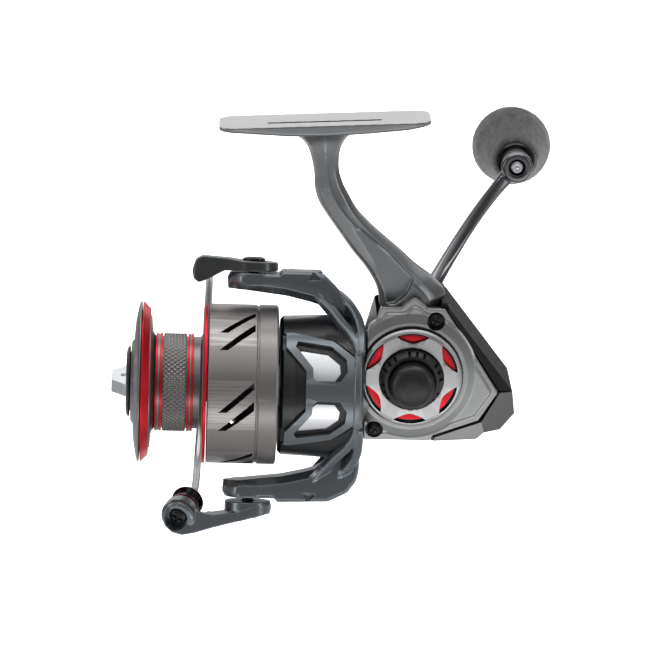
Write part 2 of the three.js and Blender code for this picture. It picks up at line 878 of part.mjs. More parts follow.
function ALLOY() {
  return paint(0x8b8e92, 0.35, 0.9);
}
{
  // Drive gear: face teeth for the pinion, a spur for the oscillation gear
  // and the tube that takes the handle shaft, in one piece.
  let gear = latheY(
    [
      [-11.6, 2.1],
      [-11.6, 3.2],
      [-8.5, 3.2],
      [-8.2, 4.6],
      [-8.2, GEAR_R],
      [-5.6, GEAR_R],
      [-5.6, 8.6],
      [-6.6, 8.2],
      [-6.6, 4.8],
      [-3.6, 4.2],
      [-3.6, 3.2],
      [12.4, 3.2],
      [12.4, 2.1],
    ],
    31,
    ...H,
  );
  for (let k = 0; k < GEAR_TEETH; k++) {
    const a = (2 * Math.PI * k) / GEAR_TEETH;
    const q = (r, t) => [
      H[0] + r * Math.cos(a + t),
      H[1] + r * Math.sin(a + t),
    ];
    gear = gear.add(
      prismY(
        [q(8.9, -0.035), q(11.0, 0.02), q(11.0, 0.09), q(8.9, 0.04)],
        -5.8,
        -4.5,
      ),
    );
  }
  gear = gear.add(
    prismY(gearOutline(...H, 4.7, 5.8, SPUR_TEETH, 0.1), 4.3, 6.3).subtract(
      rod("y", 3.0, 4, 7, 16, ...H),
    ),
  );
  add(reel, "drive_gear", gear, BRASS);
  // Oscillation gear with its crank pin, on a post of the case.
  let osc = prismY(
    gearOutline(OSC_X, OSC_Z, 8.3, 9.2, OSC_TEETH, 0.06),
    4.4,
    6.2,
  );
  osc = osc.add(rod("y", 3.4, 6.0, 8.8, 20, OSC_X, OSC_Z));
  osc = osc.subtract(rod("y", 2.3, 3, 10, 20, OSC_X, OSC_Z));
  osc = osc.add(rod("y", 1.4, 3.95, 4.6, 14, OSC_X - STROKE / 2, OSC_Z));
  for (let k = 0; k < 4; k++) {
    const a = (45 + 90 * k) * DEG;
    osc = osc.subtract(
      rod(
        "y",
        1.3,
        3,
        7,
        12,
        OSC_X + 5.3 * Math.cos(a),
        OSC_Z + 5.3 * Math.sin(a),
      ),
    );
  }
  add(reel, "oscillation_gear", osc, STEEL);
}
{
  // Handle shaft: a hexagon that drives the gear, then the shank outside.
  const hex = prismY(circle(...H, 1.7, 6), -10.0, 14.6);
  const shaft = hex.add(
    latheY(
      [
        [14.4, 0],
        [14.4, 3.2],
        [21.9, 3.2],
        [21.9, 0],
      ],
      20,
      ...H,
    ),
  );
  add(reel, "handle_shaft", shaft, STEEL);
  let collar = latheY(
    [
      [14.3, 3.5],
      [14.3, 7.2],
      [15.2, 7.6],
      [17.6, 7.0],
      [20.4, 5.6],
      [21.4, 5.4],
      [21.4, 3.5],
    ],
    28,
    ...H,
  );
  add(reel, "handle_collar", collar, SILVER);

  // Arm: leaves the hub steeply, then runs out beside the reel.
  const [cx, cz] = [Math.cos(CRANK_ANGLE), Math.sin(CRANK_ANGLE)];
  const at = (r, y, side = 0) =>
    V3(H[0] + r * cx - side * cz, y, H[1] + r * cz + side * cx);
  const path = [
    [0.0, 22.9, 0, 4.7, 4.6],
    [0.4, 25.0, 0, 4.7, 4.5],
    [1.6, 27.6, 0.0, 4.4, 4.0],
    [4.2, 31.2, -0.2, 3.8, 3.2],
    [8.0, 36.2, -0.4, 3.1, 2.5],
    [12.5, 41.4, -0.5, 2.5, 2.1],
    [18.0, 46.2, -0.5, 2.2, 1.9],
    [25.0, 50.6, -0.3, 2.1, 1.8],
    [33.0, 54.2, 0.0, 2.0, 1.8],
    [41.0, 56.3, 0.2, 2.0, 1.8],
    [48.0, 57.2, 0.2, 2.1, 1.9],
    [53.8, 57.4, 0.1, 2.6, 2.2],
  ];
  const rings = path.map(([r, y, s, a, b], i) => {
    const p = at(r, y, s);
    const lo = path[Math.max(i - 1, 0)];
    const hi = path[Math.min(i + 1, path.length - 1)];
    const d = at(hi[0], hi[1], hi[2]).sub(at(lo[0], lo[1], lo[2])).normalize();
    const side = V3(-cz, 0, cx);
    const u = side.clone().addScaledVector(d, -side.dot(d)).normalize();
    const v = d.clone().cross(u).normalize();
    return oval(p, u.multiplyScalar(a), v.multiplyScalar(b), 14, 0.85);
  });
  const eye = at(CRANK_RADIUS, 0);
  let arm = solid(loft(rings));
  arm = arm.add(
    latheY(
      [
        [53.6, 0],
        [53.6, 4.2],
        [54.2, 4.8],
        [60.2, 4.8],
        [60.8, 4.2],
        [60.8, 0],
      ],
      28,
      eye.x,
      eye.z,
    ),
  );
  arm = arm.subtract(rod("y", 2.6, 50, 63, 20, eye.x, eye.z));
  add(reel, "handle_arm", arm, BLACK_CHROME);
  add(
    reel,
    "knob_pin",
    latheY(
      [
        [54.6, 0],
        [54.6, 2.0],
        [90.4, 2.0],
        [90.4, 2.9],
        [91.2, 2.9],
        [91.2, 0],
      ],
      18,
      eye.x,
      eye.z,
    ),
    SILVER,
  );
  add(
    reel,
    "knob_grip",
    latheY(
      [
        [63.4, 3.8],
        [63.4, 6.2],
        [64.2, 7.0],
        [70.0, 9.1],
        [75.6, 11.3],
        [78.6, 12.0],
        [80.6, 12.2],
        [83.6, 11.6],
        [87.4, 10.2],
        [91.4, 8.2],
        [94.2, 6.2],
        [94.2, 5.2],
        [90.0, 5.2],
        [90.0, 2.5],
        [66.4, 2.5],
        [66.4, 3.8],
      ],
      36,
      eye.x,
      eye.z,
    ),
    FOAM,
  );
  add(
    reel,
    "knob_end_cap",
    latheY(
      [
        [91.6, 0],
        [91.6, 4.9],
        [94.3, 4.9],
        [95.0, 4.0],
        [95.3, 0],
      ],
      24,
      eye.x,
      eye.z,
    ),
    DARK,
  );
}

// ========================================================= shaft and slider
{
  add(
    reel,
    "main_shaft",
    latheX(
      [
        [-84.6, 0],
        [-84.6, 1.5],
        [-84.2, 1.8],
        [-74.0, 1.8],
        [-73.6, SHAFT_R],
        [3.0, SHAFT_R],
        [3.0, 0],
      ],
      20,
    ),
    STEEL,
  );
  const sx = OSC_X - STROKE / 2;
  const half = STROKE / 2 + 1.5;
  let slider = prismY(
    [
      ...circle(sx + 0.15, OSC_Z + half - 1.3, 2.2, 16).slice(0, 9),
      ...circle(sx + 0.15, OSC_Z - half + 1.3, 2.2, 16).slice(8, 17),
      [sx + 2.35, OSC_Z - half + 1.3],
    ],
    -3,
    3.5,
  );
  slider = slider.add(rod("x", 3.7, -1.0, sx - 1.0, 24));
  slider = slider.subtract(rod("x", 2.4, -2, 3.3, 20));
  slider = slider.subtract(
    prismY(
      [
        [sx - 1.3, OSC_Z - half + 1.1],
        [sx + 1.6, OSC_Z - half + 1.1],
        [sx + 1.6, OSC_Z + half - 0.6],
        [sx - 1.3, OSC_Z + half - 0.6],
      ],
      1.0,
      5,
    ),
  );
  // Lower rear corner cut away, to clear the slanted case wall at full travel.
  slider = slider.subtract(
    prismY(
      [
        [sx - 0.4, OSC_Z - 9.0],
        [sx + 3.0, OSC_Z - 9.0],
        [sx + 3.0, OSC_Z - 5.7],
      ],
      -6,
      6,
    ),
  );
  slider = slider.subtract(rod("x", 1.4, -3, 10, 12, -1.0, -7.0));
  slider = slider.subtract(rod("z", 1.3, -5, -1.5, 12, 1.0, 0));
  add(reel, "slider_block", slider, ALLOY());
  add(
    reel,
    "slider_screw",
    rod("z", 1.0, -4.6, -2.4, 12, 1.0, 0).add(
      rod("z", 1.9, -5.2, -4.1, 14, 1.0, 0),
    ),
    STEEL,
  );
  // Click gear keyed to the shaft behind the spool hub.
  add(
    reel,
    "click_gear",
    prismX(gearOutline(0, 0, 6.1, 6.9, 24), -59.4, -57.8, {
      holes: [circle(0, 0, SHAFT_R + 0.3, 18)],
    }),
    DARK,
  );
}

// ==================================================================== rotor
const cutDrum = (polygon, r0, r1) =>
  ring("x", r0, r1, -60, 0, 48).intersect(radial(polygon));
const mirrorFar = (polygon) => polygon.map(([x, a]) => [x, a + 180]);
const PANEL = [
  [-37.9, 50],
  [-37.8, 35.6],
  [-31.9, 16],
  [-31.9, -16],
  [-37.8, -35.6],
  [-37.9, -50],
  [-36, -50.5],
  [-24.2, -42.5],
  [-17.9, -27.5],
  [-17.6, 0],
  [-17.9, 27.5],
  [-24.2, 42.5],
  [-36, 50.5],
];
const PANEL_WINDOW = [
  [-35.1, 36.7],
  [-34.4, 41.5],
  [-24.8, 37.2],
  [-20.4, 26],
  [-20.0, 16],
  [-22.0, 8.0],
  [-28.5, 7.6],
  [-29.9, 11],
  [-30.0, 18.5],
];
{
  const ARM = [
    [-55.0, 28.1],
    [-55.2, 31.8],
    [-54.2, PIVOT_V],
    [-39.9, PIVOT_V],
    [-39.2, 33.9],
    [-29.6, 33.9],
    [-26.7, 32.7],
    [-23.7, 29.8],
    [-20.7, 26.6],
    [-17.6, 22.6],
    [-15.6, 19.2],
    [-15.6, 17.6],
    [-24.6, 18.4],
    [-25.2, 21.0],
    [-26.0, 22.8],
    [-28.3, 24.1],
    [-31.3, 25.0],
    [-38, 26.5],
    [-50, 27.9],
  ];
  let frame = latheX(
    [
      [-38.1, 3.9],
      [-38.1, 10.4],
      [DRUM_FRONT, 11.2],
      [DRUM_FRONT, 19.4],
      [DRUM_FRONT + 0.9, 20.4],
      [-26.5, DRUM_R],
      [-23.0, DRUM_R],
      [-18.0, 21.4],
      [DRUM_BACK + 0.8, 20.9],
      [DRUM_BACK, 20.3],
      [DRUM_BACK, 19.5],
      [-18.6, 19.3],
      [-19.4, 18.4],
      [-35.2, 18.4],
      [-35.6, 17.8],
      [-35.6, 8.0],
      [-30.6, 7.2],
      [-30.6, 3.9],
    ],
    48,
  );
  const LOWER_ARM = [
    ...ARM.slice(0, 3),
    [-39.9, PIVOT_V],
    [-39.2, 34.1],
    [-24.2, 33.6],
    [-18.6, 30.9],
    [-16.0, 27.4],
    [DRUM_BACK, 24.2],
    [DRUM_BACK, 17.6],
    ...ARM.slice(12),
  ];
  const arm = prismY(ARM, -ARM_HALF, ARM_HALF, { bevel: 1.0, segs: 1 });
  const other = prismY(LOWER_ARM, -ARM_HALF, ARM_HALF, {
    bevel: 1.0,
    segs: 1,
  }).transform([1, 0, 0, 0, 0, -1, 0, 0, 0, 0, -1, 0, 0, 0, 0, 1]);
  const boss = rod("z", 7.3, 28.4, PIVOT_V, 28, PIVOT_X, 0);
  // Gussets that spread each arm's root round the drum.
  const gusset = ring("x", 19.6, 21.9, -21.4, DRUM_BACK - 0.8, 48).intersect(
    radial([
      [-21.4, 78],
      [-17.6, 52],
      [-14, 52],
      [-14, 128],
      [-17.6, 128],
      [-21.4, 102],
    ]),
  );
  const flip = [1, 0, 0, 0, 0, -1, 0, 0, 0, 0, -1, 0, 0, 0, 0, 1];
  frame = frame
    .add(arm)
    .add(other)
    .add(boss)
    .add(boss.transform(flip))
    .add(gusset)
    .add(gusset.transform(flip));
  // The drum stays hollow.
  frame = frame.subtract(
    latheX(
      [
        [-35.2, 8.2],
        [-35.2, 18.4],
        [-19.4, 18.4],
        [-18.6, 19.3],
        [-10, 19.5],
        [-10, 0],
        [-30.6, 0],
        [-30.6, 7.2],
      ],
      48,
    ),
  );
  // Seats for the window panels and their liners.
  for (const turn of [0, 180]) {
    const seat = [
      [-38.8, 51.2],
      [-38.8, 34.4],
      [-32.3, 15.0],
      [-32.3, -15.0],
      [-38.8, -34.4],
      [-38.8, -51.2],
      [-36.2, -51.7],
      [-23.9, -43.7],
      [-17.6, -28.5],
      [-17.2, 0],
      [-17.6, 28.5],
      [-23.9, 43.7],
      [-36.2, 51.7],
    ].map(([x, a]) => [x, a + turn]);
    frame = frame.subtract(cutDrum(seat, 19.95, 26));
    frame = frame.subtract(
      cutDrum(
        [
          [-35.0, -43 + turn],
          [-19.2, -32 + turn],
          [-19.2, 32 + turn],
          [-35.0, 43 + turn],
        ],
        17,
        24,
      ),
    );
  }
  // Spring and lever pockets under the arm covers, pivot holes.
  for (const s of [1, -1]) {
    const p = box(-38.4, -27.2, -4.3, 4.3, 28.2, 40);
    const hole = rod("z", 1.9, 29.8, 36, 14, PIVOT_X, 0);
    frame = frame.subtract(s > 0 ? p : p.transform(flip));
    frame = frame.subtract(s > 0 ? hole : hole.transform(flip));
    // Shallow triangular recess in both flanks of each arm.
    const notch = prismY(
      [
        [-31.6, 31.4],
        [-30.2, 33.3],
        [-27.9, 31.6],
      ],
      ARM_HALF - 1.4,
      12,
    );
    const both = notch.add(notch.mirror([0, 1, 0]));
    frame = frame.subtract(s > 0 ? both : both.transform(flip));
  }
  add(rotor, "rotor_frame", frame, ROTOR_GREY);

  const sides = { near: 0, far: 180 };
  for (const [side, turn] of Object.entries(sides)) {
    const spin = (polygon) => polygon.map(([x, a]) => [x, a + turn]);
    let panel = cutDrum(spin(PANEL), 20.25, 20.95);
    panel = panel.subtract(radial(spin(PANEL_WINDOW)));
    panel = panel.subtract(
      radial(spin(PANEL_WINDOW.map(([x, a]) => [x, -a]))),
    );
    add(rotor, "rotor_panel_" + side, panel, ROTOR_GREY);
    add(
      rotor,
      "rotor_liner_" + side,
      cutDrum(
        spin([
          [-34.7, -42],
          [-19.6, -31],
          [-19.6, 31],
          [-34.7, 42],
        ]),
        18.7,
        19.9,
      ),
      SILVER,
    );
  }
  const lid = prismZ(
    [
      [-38.1, -4.0],
      [-27.5, -4.0],
      [-27.5, 4.0],
      [-38.1, 4.0],
    ],
    32.6,
    33.9,
    { bevel: 0.25 },
  );
  add(rotor, "arm_cover_top", lid, ROTOR_GREY);
  add(rotor, "arm_cover_bottom", lid.transform(flip), ROTOR_GREY);
  // Bail spring in the top arm, trip lever in the bottom arm.
  const turns = 5;
  const coil = [];
  for (let i = 0; i <= turns * 8; i++) {
    const a = (i / 8) * 2 * Math.PI;
    coil.push([
      -37.4 + (9.0 * i) / (turns * 8),
      1.45 * Math.cos(a),
      30.4 + 1.45 * Math.sin(a),
    ]);
  }
  add(rotor, "bail_spring", bar(coil, 0.38, turns * 8, 4), STEEL);
  add(
    rotor,
    "bail_trip_lever",
    prismZ(
      [
        [-37.8, -1.6],
        [-33.0, -1.6],
        [-31.0, 1.0],
        [-27.9, 1.2],
        [-27.9, 3.4],
        [-32.0, 3.4],
        [-34.6, 1.6],
        [-37.8, 1.6],
      ],
      -31.6,
      -29.2,
    ),
    DARK,
  );
}
{
  let pinion = latheX(
    [
      [-41.9, 2.5],
      [-41.9, 3.3],
      [-30.0, 3.3],
      [-29.6, 3.6],
      [-12.6, 3.6],
      [-12.2, 3.1],
      [-4.2, 3.1],
      [-4.2, 2.5],
    ],
    20,
  );
  // Helical teeth.
  const profile = gearOutline(0, 0, 2.9, 3.9, PINION_TEETH, 0, 0.36);
  const twist = 200 * DEG;
  const steps = 4;
  const rings = [];
  for (let i = 0; i <= steps; i++) {
    const a = (twist * i) / steps;
    rings.push(
      profile.map(([y, z]) =>
        V3(
          -12.3 + (7.9 * i) / steps,
          y * Math.cos(a) - z * Math.sin(a),
          y * Math.sin(a) + z * Math.cos(a),
        ),
      ),
    );
  }
  pinion = pinion
    .add(solid(loft(rings)))
    .subtract(rod("x", 2.5, -50, 0, 20));
  add(rotor, "pinion_gear", pinion, BRASS);
  add(
    rotor,
    "rotor_nut",
    prismX(circle(0, 0, 6.6, 6), -41.4, -38.5, {
      holes: [circle(0, 0, 3.6, 18)],
    }),
    STEEL,
  );
}

// ===================================================================== bail
const ROLLER_AXIS = V3(0.27, 0.89, 0.36).normalize();
const BOSS = V3(-68.0, -6.0, -39.1);
const along = (t) => BOSS.clone().addScaledVector(ROLLER_AXIS, t);
const P = (v) => [v.x, v.y, v.z];
{
  // Lever on the line roller side.
  const outline = [
    [-40.6, -37.2],
    [-50.7, -40.3],
    [-60.6, -43.2],
    [-67.0, -44.2],
    [-71.0, -43.0],
    [-72.6, -40.0],
    [-71.0, -36.4],
    [-67.0, -34.9],
    [-62.2, -37.0],
    [-58.2, -38.0],
    [-50.8, -37.3],
    [-44.0, -35.2],
    [-40.6, -35.0],
  ];
  let lever = prismY(outline, -7.2, 7.2, { bevel: 0.7, segs: 1 });
  // Plan outline: round at the pivot, slim towards the roller.
  lever = lever.intersect(
    prismZ(
      [
        ...circle(PIVOT_X, 0, 7.0, 24).filter(([x]) => x > PIVOT_X - 3.5),
        [-56, 3.4],
        [-62, 1.2],
        [-66.0, -0.6],
        [-73.5, -2.6],
        [-73.5, -7.2],
        [-64, -7.0],
        [-58, -6.6],
      ].sort(
        (p, q) =>
          Math.atan2(p[1] + 2, p[0] + 58) - Math.atan2(q[1] + 2, q[0] + 58),
      ),
      -50,
      -30,
    ),
  );
  lever = lever.add(
    rod("z", 6.8, -38.0, -34.3, 28, PIVOT_X, 0).transform([
      1, 0, 0, 0, 0, 1, 0, 0, 0, 0, 1, 0, 0, 0, 0, 1,
    ]),
  );
  lever = lever.subtract(strut(P(along(4.5)), P(along(18)), 6.6, 6.6, 20));
  lever = lever.add(strut(P(along(-0.4)), P(along(4.6)), 5.0, 5.0, 24));
  lever = lever.subtract(strut(P(along(-1)), P(along(0.9)), 3.2, 3.2, 20));
  lever = lever.subtract(strut(P(along(-1)), P(along(6)), 1.7, 1.7, 16));
  lever = lever.subtract(rod("z", 2.4, -46, -33, 16, PIVOT_X, 0));
  lever = lever.subtract(rod("z", 3.7, -46, -38.0, 20, PIVOT_X, 0));
  add(rotor, "bail_arm", lever, ROTOR_GREY);
  add(
    rotor,
    "bail_pivot_screw_bottom",
    rod("z", 3.3, -39.4, -38.4, 20, PIVOT_X, 0).add(
      rod("z", 1.6, -38.8, -30.2, 14, PIVOT_X, 0),
    ),
    DARK,
  );
  // Lever on the other side, which holds the end of the wire.
  const head = [
    [-65.6, 33.2],
    [-64.6, 36.4],
    [-62.7, 37.5],
    [-55.1, 37.0],
    [-50.8, 36.4],
    [-40.6, 36.0],
    [-40.2, 35.0],
    [-40.4, 33.4],
    [-56.2, 33.4],
    [-60.4, 31.0],
    [-63.6, 29.6],
    [-65.2, 30.8],
  ];
  let holder = prismY(head, -7.4, 7.4, { bevel: 0.6, segs: 1 });
  holder = holder.intersect(
    prismZ(
      [
        ...circle(PIVOT_X, 0, 7.2, 24).filter(([x]) => x > PIVOT_X - 3.5),
        [-56, 4.6],
        [-66, 3.8],
        [-66, -3.6],
        [-56, -4.6],
      ].sort(
        (p, q) => Math.atan2(p[1], p[0] + 56) - Math.atan2(q[1], q[0] + 56),
      ),
      28,
      40,
    ),
  );
  holder = holder.subtract(rod("z", 2.4, 30, 40, 16, PIVOT_X, 0));
  holder = holder.subtract(rod("z", 3.7, 35.4, 40, 20, PIVOT_X, 0));
  holder = holder.subtract(
    strut([-61.6, 8, 32.0], [-61.9, 1.5, 32.9], 1.5, 1.5, 14),
  );
  add(rotor, "bail_holder", holder, ROTOR_GREY);
  add(
    rotor,
    "bail_pivot_screw_top",
    rod("z", 3.3, 35.8, 37.2, 20, PIVOT_X, 0).add(
      rod("z", 1.6, 30.2, 36.0, 14, PIVOT_X, 0),
    ),
    DARK,
  );
  // Wire, with the cone that hands the line to the roller.
  const wire = bar(
    [
      P(along(14.5)),
      [-63.2, 12.0, -32.6],
      [-62.8, 21.2, -30.6],
      [-62.5, 31.2, -25.2],
      [-61.9, 39.2, -15.0],
      [-61.3, 43.4, -2.0],
      [-60.8, 42.6, 11.2],
      [-60.5, 36.2, 22.0],
      [-60.4, 26.4, 28.8],
      [-60.6, 15.6, 31.6],
      [-61.2, 8.0, 32.0],
      [-61.75, 2.4, 32.8],
    ],
    1.1,
    30,
    8,
  );
  const cone = strut(P(along(10.9)), P(along(15.5)), 3.9, 1.9, 20).add(
    strut(P(along(15.0)), P(along(17.0)), 1.9, 1.2, 16),
  );
  add(rotor, "bail_wire", wire.add(cone), DARK);
  // Line roller and its screw.
  const profile = [
    [5.1, 2.1],
    [5.1, 4.6],
    [5.8, 4.6],
    [7.2, 3.7],
    [8.6, 3.7],
    [10.0, 4.6],
    [10.5, 4.6],
    [10.5, 2.1],
  ];
  const q = new THREE.Quaternion().setFromUnitVectors(Y0, ROLLER_AXIS);
  const frame = M4().compose(BOSS, q, V3(1, 1, 1));
  add(rotor, "line_roller", lathe(profile, 28, frame), DARK);
  add(
    rotor,
    "roller_screw",
    lathe(
      [
        [0.2, 0],
        [0.2, 2.6],
        [0.7, 2.8],
        [0.7, 1.35],
        [10.6, 1.35],
        [10.6, 0],
      ].map(([h, r]) => [h === 0.7 && r === 2.8 ? 0.6 : h, r]),
      18,
      frame,
    ).subtract(
      lathe(
        [
          [-1, 0],
          [-1, 1.2],
          [0.45, 1.2],
          [0.45, 0],
        ],
        6,
        frame,
      ),
    ),
    STEEL,
  );
}

// ==================================================================== spool
{
  const spool = latheX(
    [
      [-82.6, 9.8],
      [-82.7, 11.5],
      [-82.0, 12.4],
      [-81.6, 17.8],
      [-80.8, 22.2],
      [-80.5, 23.2],
      [-80.2, SPOOL_R],
      [-79.9, SPOOL_R],
      [-79.8, 20.0],
      [-76.9, 19.4],
      [-76.6, 15.2],
      [-76.2, 14.3],
      [-75.6, ARBOR_R],
      [-62.6, ARBOR_R],
      [-62.0, 14.3],
      [-61.9, 22.2],
      [-60.7, 22.2],
      [-60.7, 12.0],
      [-67.4, 12.0],
      [-67.4, 5.6],
      [-60.0, 5.6],
      [-60.0, 2.5],
      [-70.4, 2.5],
      [-70.4, 9.4],
      [-82.0, 9.4],
    ],
    48,
  );
  add(reel, "spool", spool, ANODISED);
  add(
    reel,
    "spool_lip_ring",
    latheX(
      [
        [-79.5, 20.4],
        [-79.5, 23.5],
        [-79.2, 23.4],
        [-77.3, 21.5],
        [-77.3, 20.1],
      ],
      48,
    ),
    RED,
  );
  add(
    reel,
    "arbor_ring_front",
    latheX(
      [
        [-75.6, 13.8],
        [-75.6, 14.35],
        [-75.1, 14.35],
        [-74.9, 14.1],
        [-74.4, 14.1],
        [-74.2, 14.35],
        [-73.6, 14.35],
        [-73.6, 13.8],
      ],
      40,
    ),
    RED,
  );
  add(
    reel,
    "arbor_grip_band",
    ring("x", 13.8, 14.3, -73.3, -66.6, 40),
    ANODISED,
  );
  add(
    reel,
    "arbor_ring_rear",
    latheX(
      [
        [-66.3, 13.8],
        [-66.3, 14.35],
        [-65.7, 14.35],
        [-65.5, 14.1],
        [-65.2, 14.1],
        [-65.0, 14.35],
        [-64.5, 14.35],
        [-64.5, 13.8],
      ],
      40,
    ),
    RED,
  );
  add(
    reel,
    "skirt_ring",
    latheX(
      [
        [-61.7, 22.5],
        [-61.7, 23.1],
        [-61.4, 23.5],
        [-60.7, 23.5],
        [-60.7, 22.5],
      ],
      48,
    ),
    RED,
  );
  let skirt = latheX(
    [
      [SKIRT_FRONT, 19.8],
      [SKIRT_FRONT, SKIRT_R],
      [-46.3, SKIRT_R],
      [-46.0, 23.0],
      [-45.7, 23.25],
      [SKIRT_BACK - 0.4, 23.25],
      [SKIRT_BACK, 22.9],
      [SKIRT_BACK, 21.5],
      [-58.4, 21.5],
      [-58.4, 19.8],
    ],
    60,
  );
  for (let k = 0; k < 6; k++) {
    const a = 57.5 + 60 * k;
    for (const slot of [
      [
        [-57.2, 0],
        [-54.7, 0],
        [-46.8, 17.4],
        [-46.8, 22.8],
      ],
      [
        [-57.2, -14.6],
        [-54.7, -14.6],
        [-46.8, 1.8],
        [-46.8, 8.8],
      ],
    ])
      skirt = skirt.subtract(
        radial(
          slot.map(([x, b]) => [x, a + b]),
          18,
          30,
        ),
      );
  }
  add(reel, "spool_skirt", skirt, ANODISED);

  // Drag stack in the front of the spool.
  const washers = [
    ["drag_washer_felt_rear", -72.9, -70.8, 2.5, 9.0, FELT],
    ["drag_washer_metal", -74.8, -73.2, 2.5, 8.8, STEEL],
    ["drag_washer_felt_front", -77.3, -75.1, 2.5, 9.0, FELT],
  ];
  for (const [name, a, b, ri, ro, finish] of washers)
    add(reel, name, ring("x", ri, ro, a, b, 28), finish);
  // Retaining ring with its gap.
  add(
    reel,
    "drag_retainer_clip",
    ring("x", 7.9, 8.9, -78.4, -77.6, 32).subtract(
      box(-80, -76, -1.2, 1.2, 5, 12),
    ),
    STEEL,
  );
}
{
  // Drag knob: a black disc with a bar across it, nut and spring inside.
  let knob = latheX(
    [
      [-84.1, 0],
      [-84.1, 9.6],
      [-83.6, 10.3],
      [-83.0, 10.3],
      [-83.0, 8.6],
      [-80.4, 8.6],
      [-80.4, 3.6],
      [-82.6, 3.6],
      [-82.6, 0],
    ],
    40,
  );
  // Seat for the bar, hole for the shaft.
  knob = knob.subtract(box(-90, -82.7, -9.3, 9.3, -2.15, 2.15));
  knob = knob.subtract(rod("x", 2.4, -90, -80, 20));
  add(reel, "drag_knob", knob, BLACK);
  let grip = prismZ(
    [
      [-83.0, -8.8],
      [-84.6, -8.4],
      [-86.2, -6.6],
      [-88.2, -4.8],
      [-88.4, -4.0],
      [-88.4, 4.0],
      [-88.2, 4.8],
      [-86.2, 6.6],
      [-84.6, 8.4],
      [-83.0, 8.8],
    ],
    -1.85,
    1.85,
    { bevel: 0.5 },
  );
  grip = grip.subtract(rod("x", 2.2, -85.6, -80, 18));
  add(reel, "drag_bar", grip, SILVER);
  const turns = 3;
  const coil = [];
  for (let i = 0; i <= turns * 10; i++) {
    const a = (i / 10) * 2 * Math.PI;
    coil.push([
      -82.0 + (3.2 * i) / (turns * 10),
      3.0 * Math.cos(a),
      3.0 * Math.sin(a),
    ]);
  }
  add(reel, "drag_spring", bar(coil, 0.35, turns * 9, 4), STEEL);
}

export default part;
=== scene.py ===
import json
import math

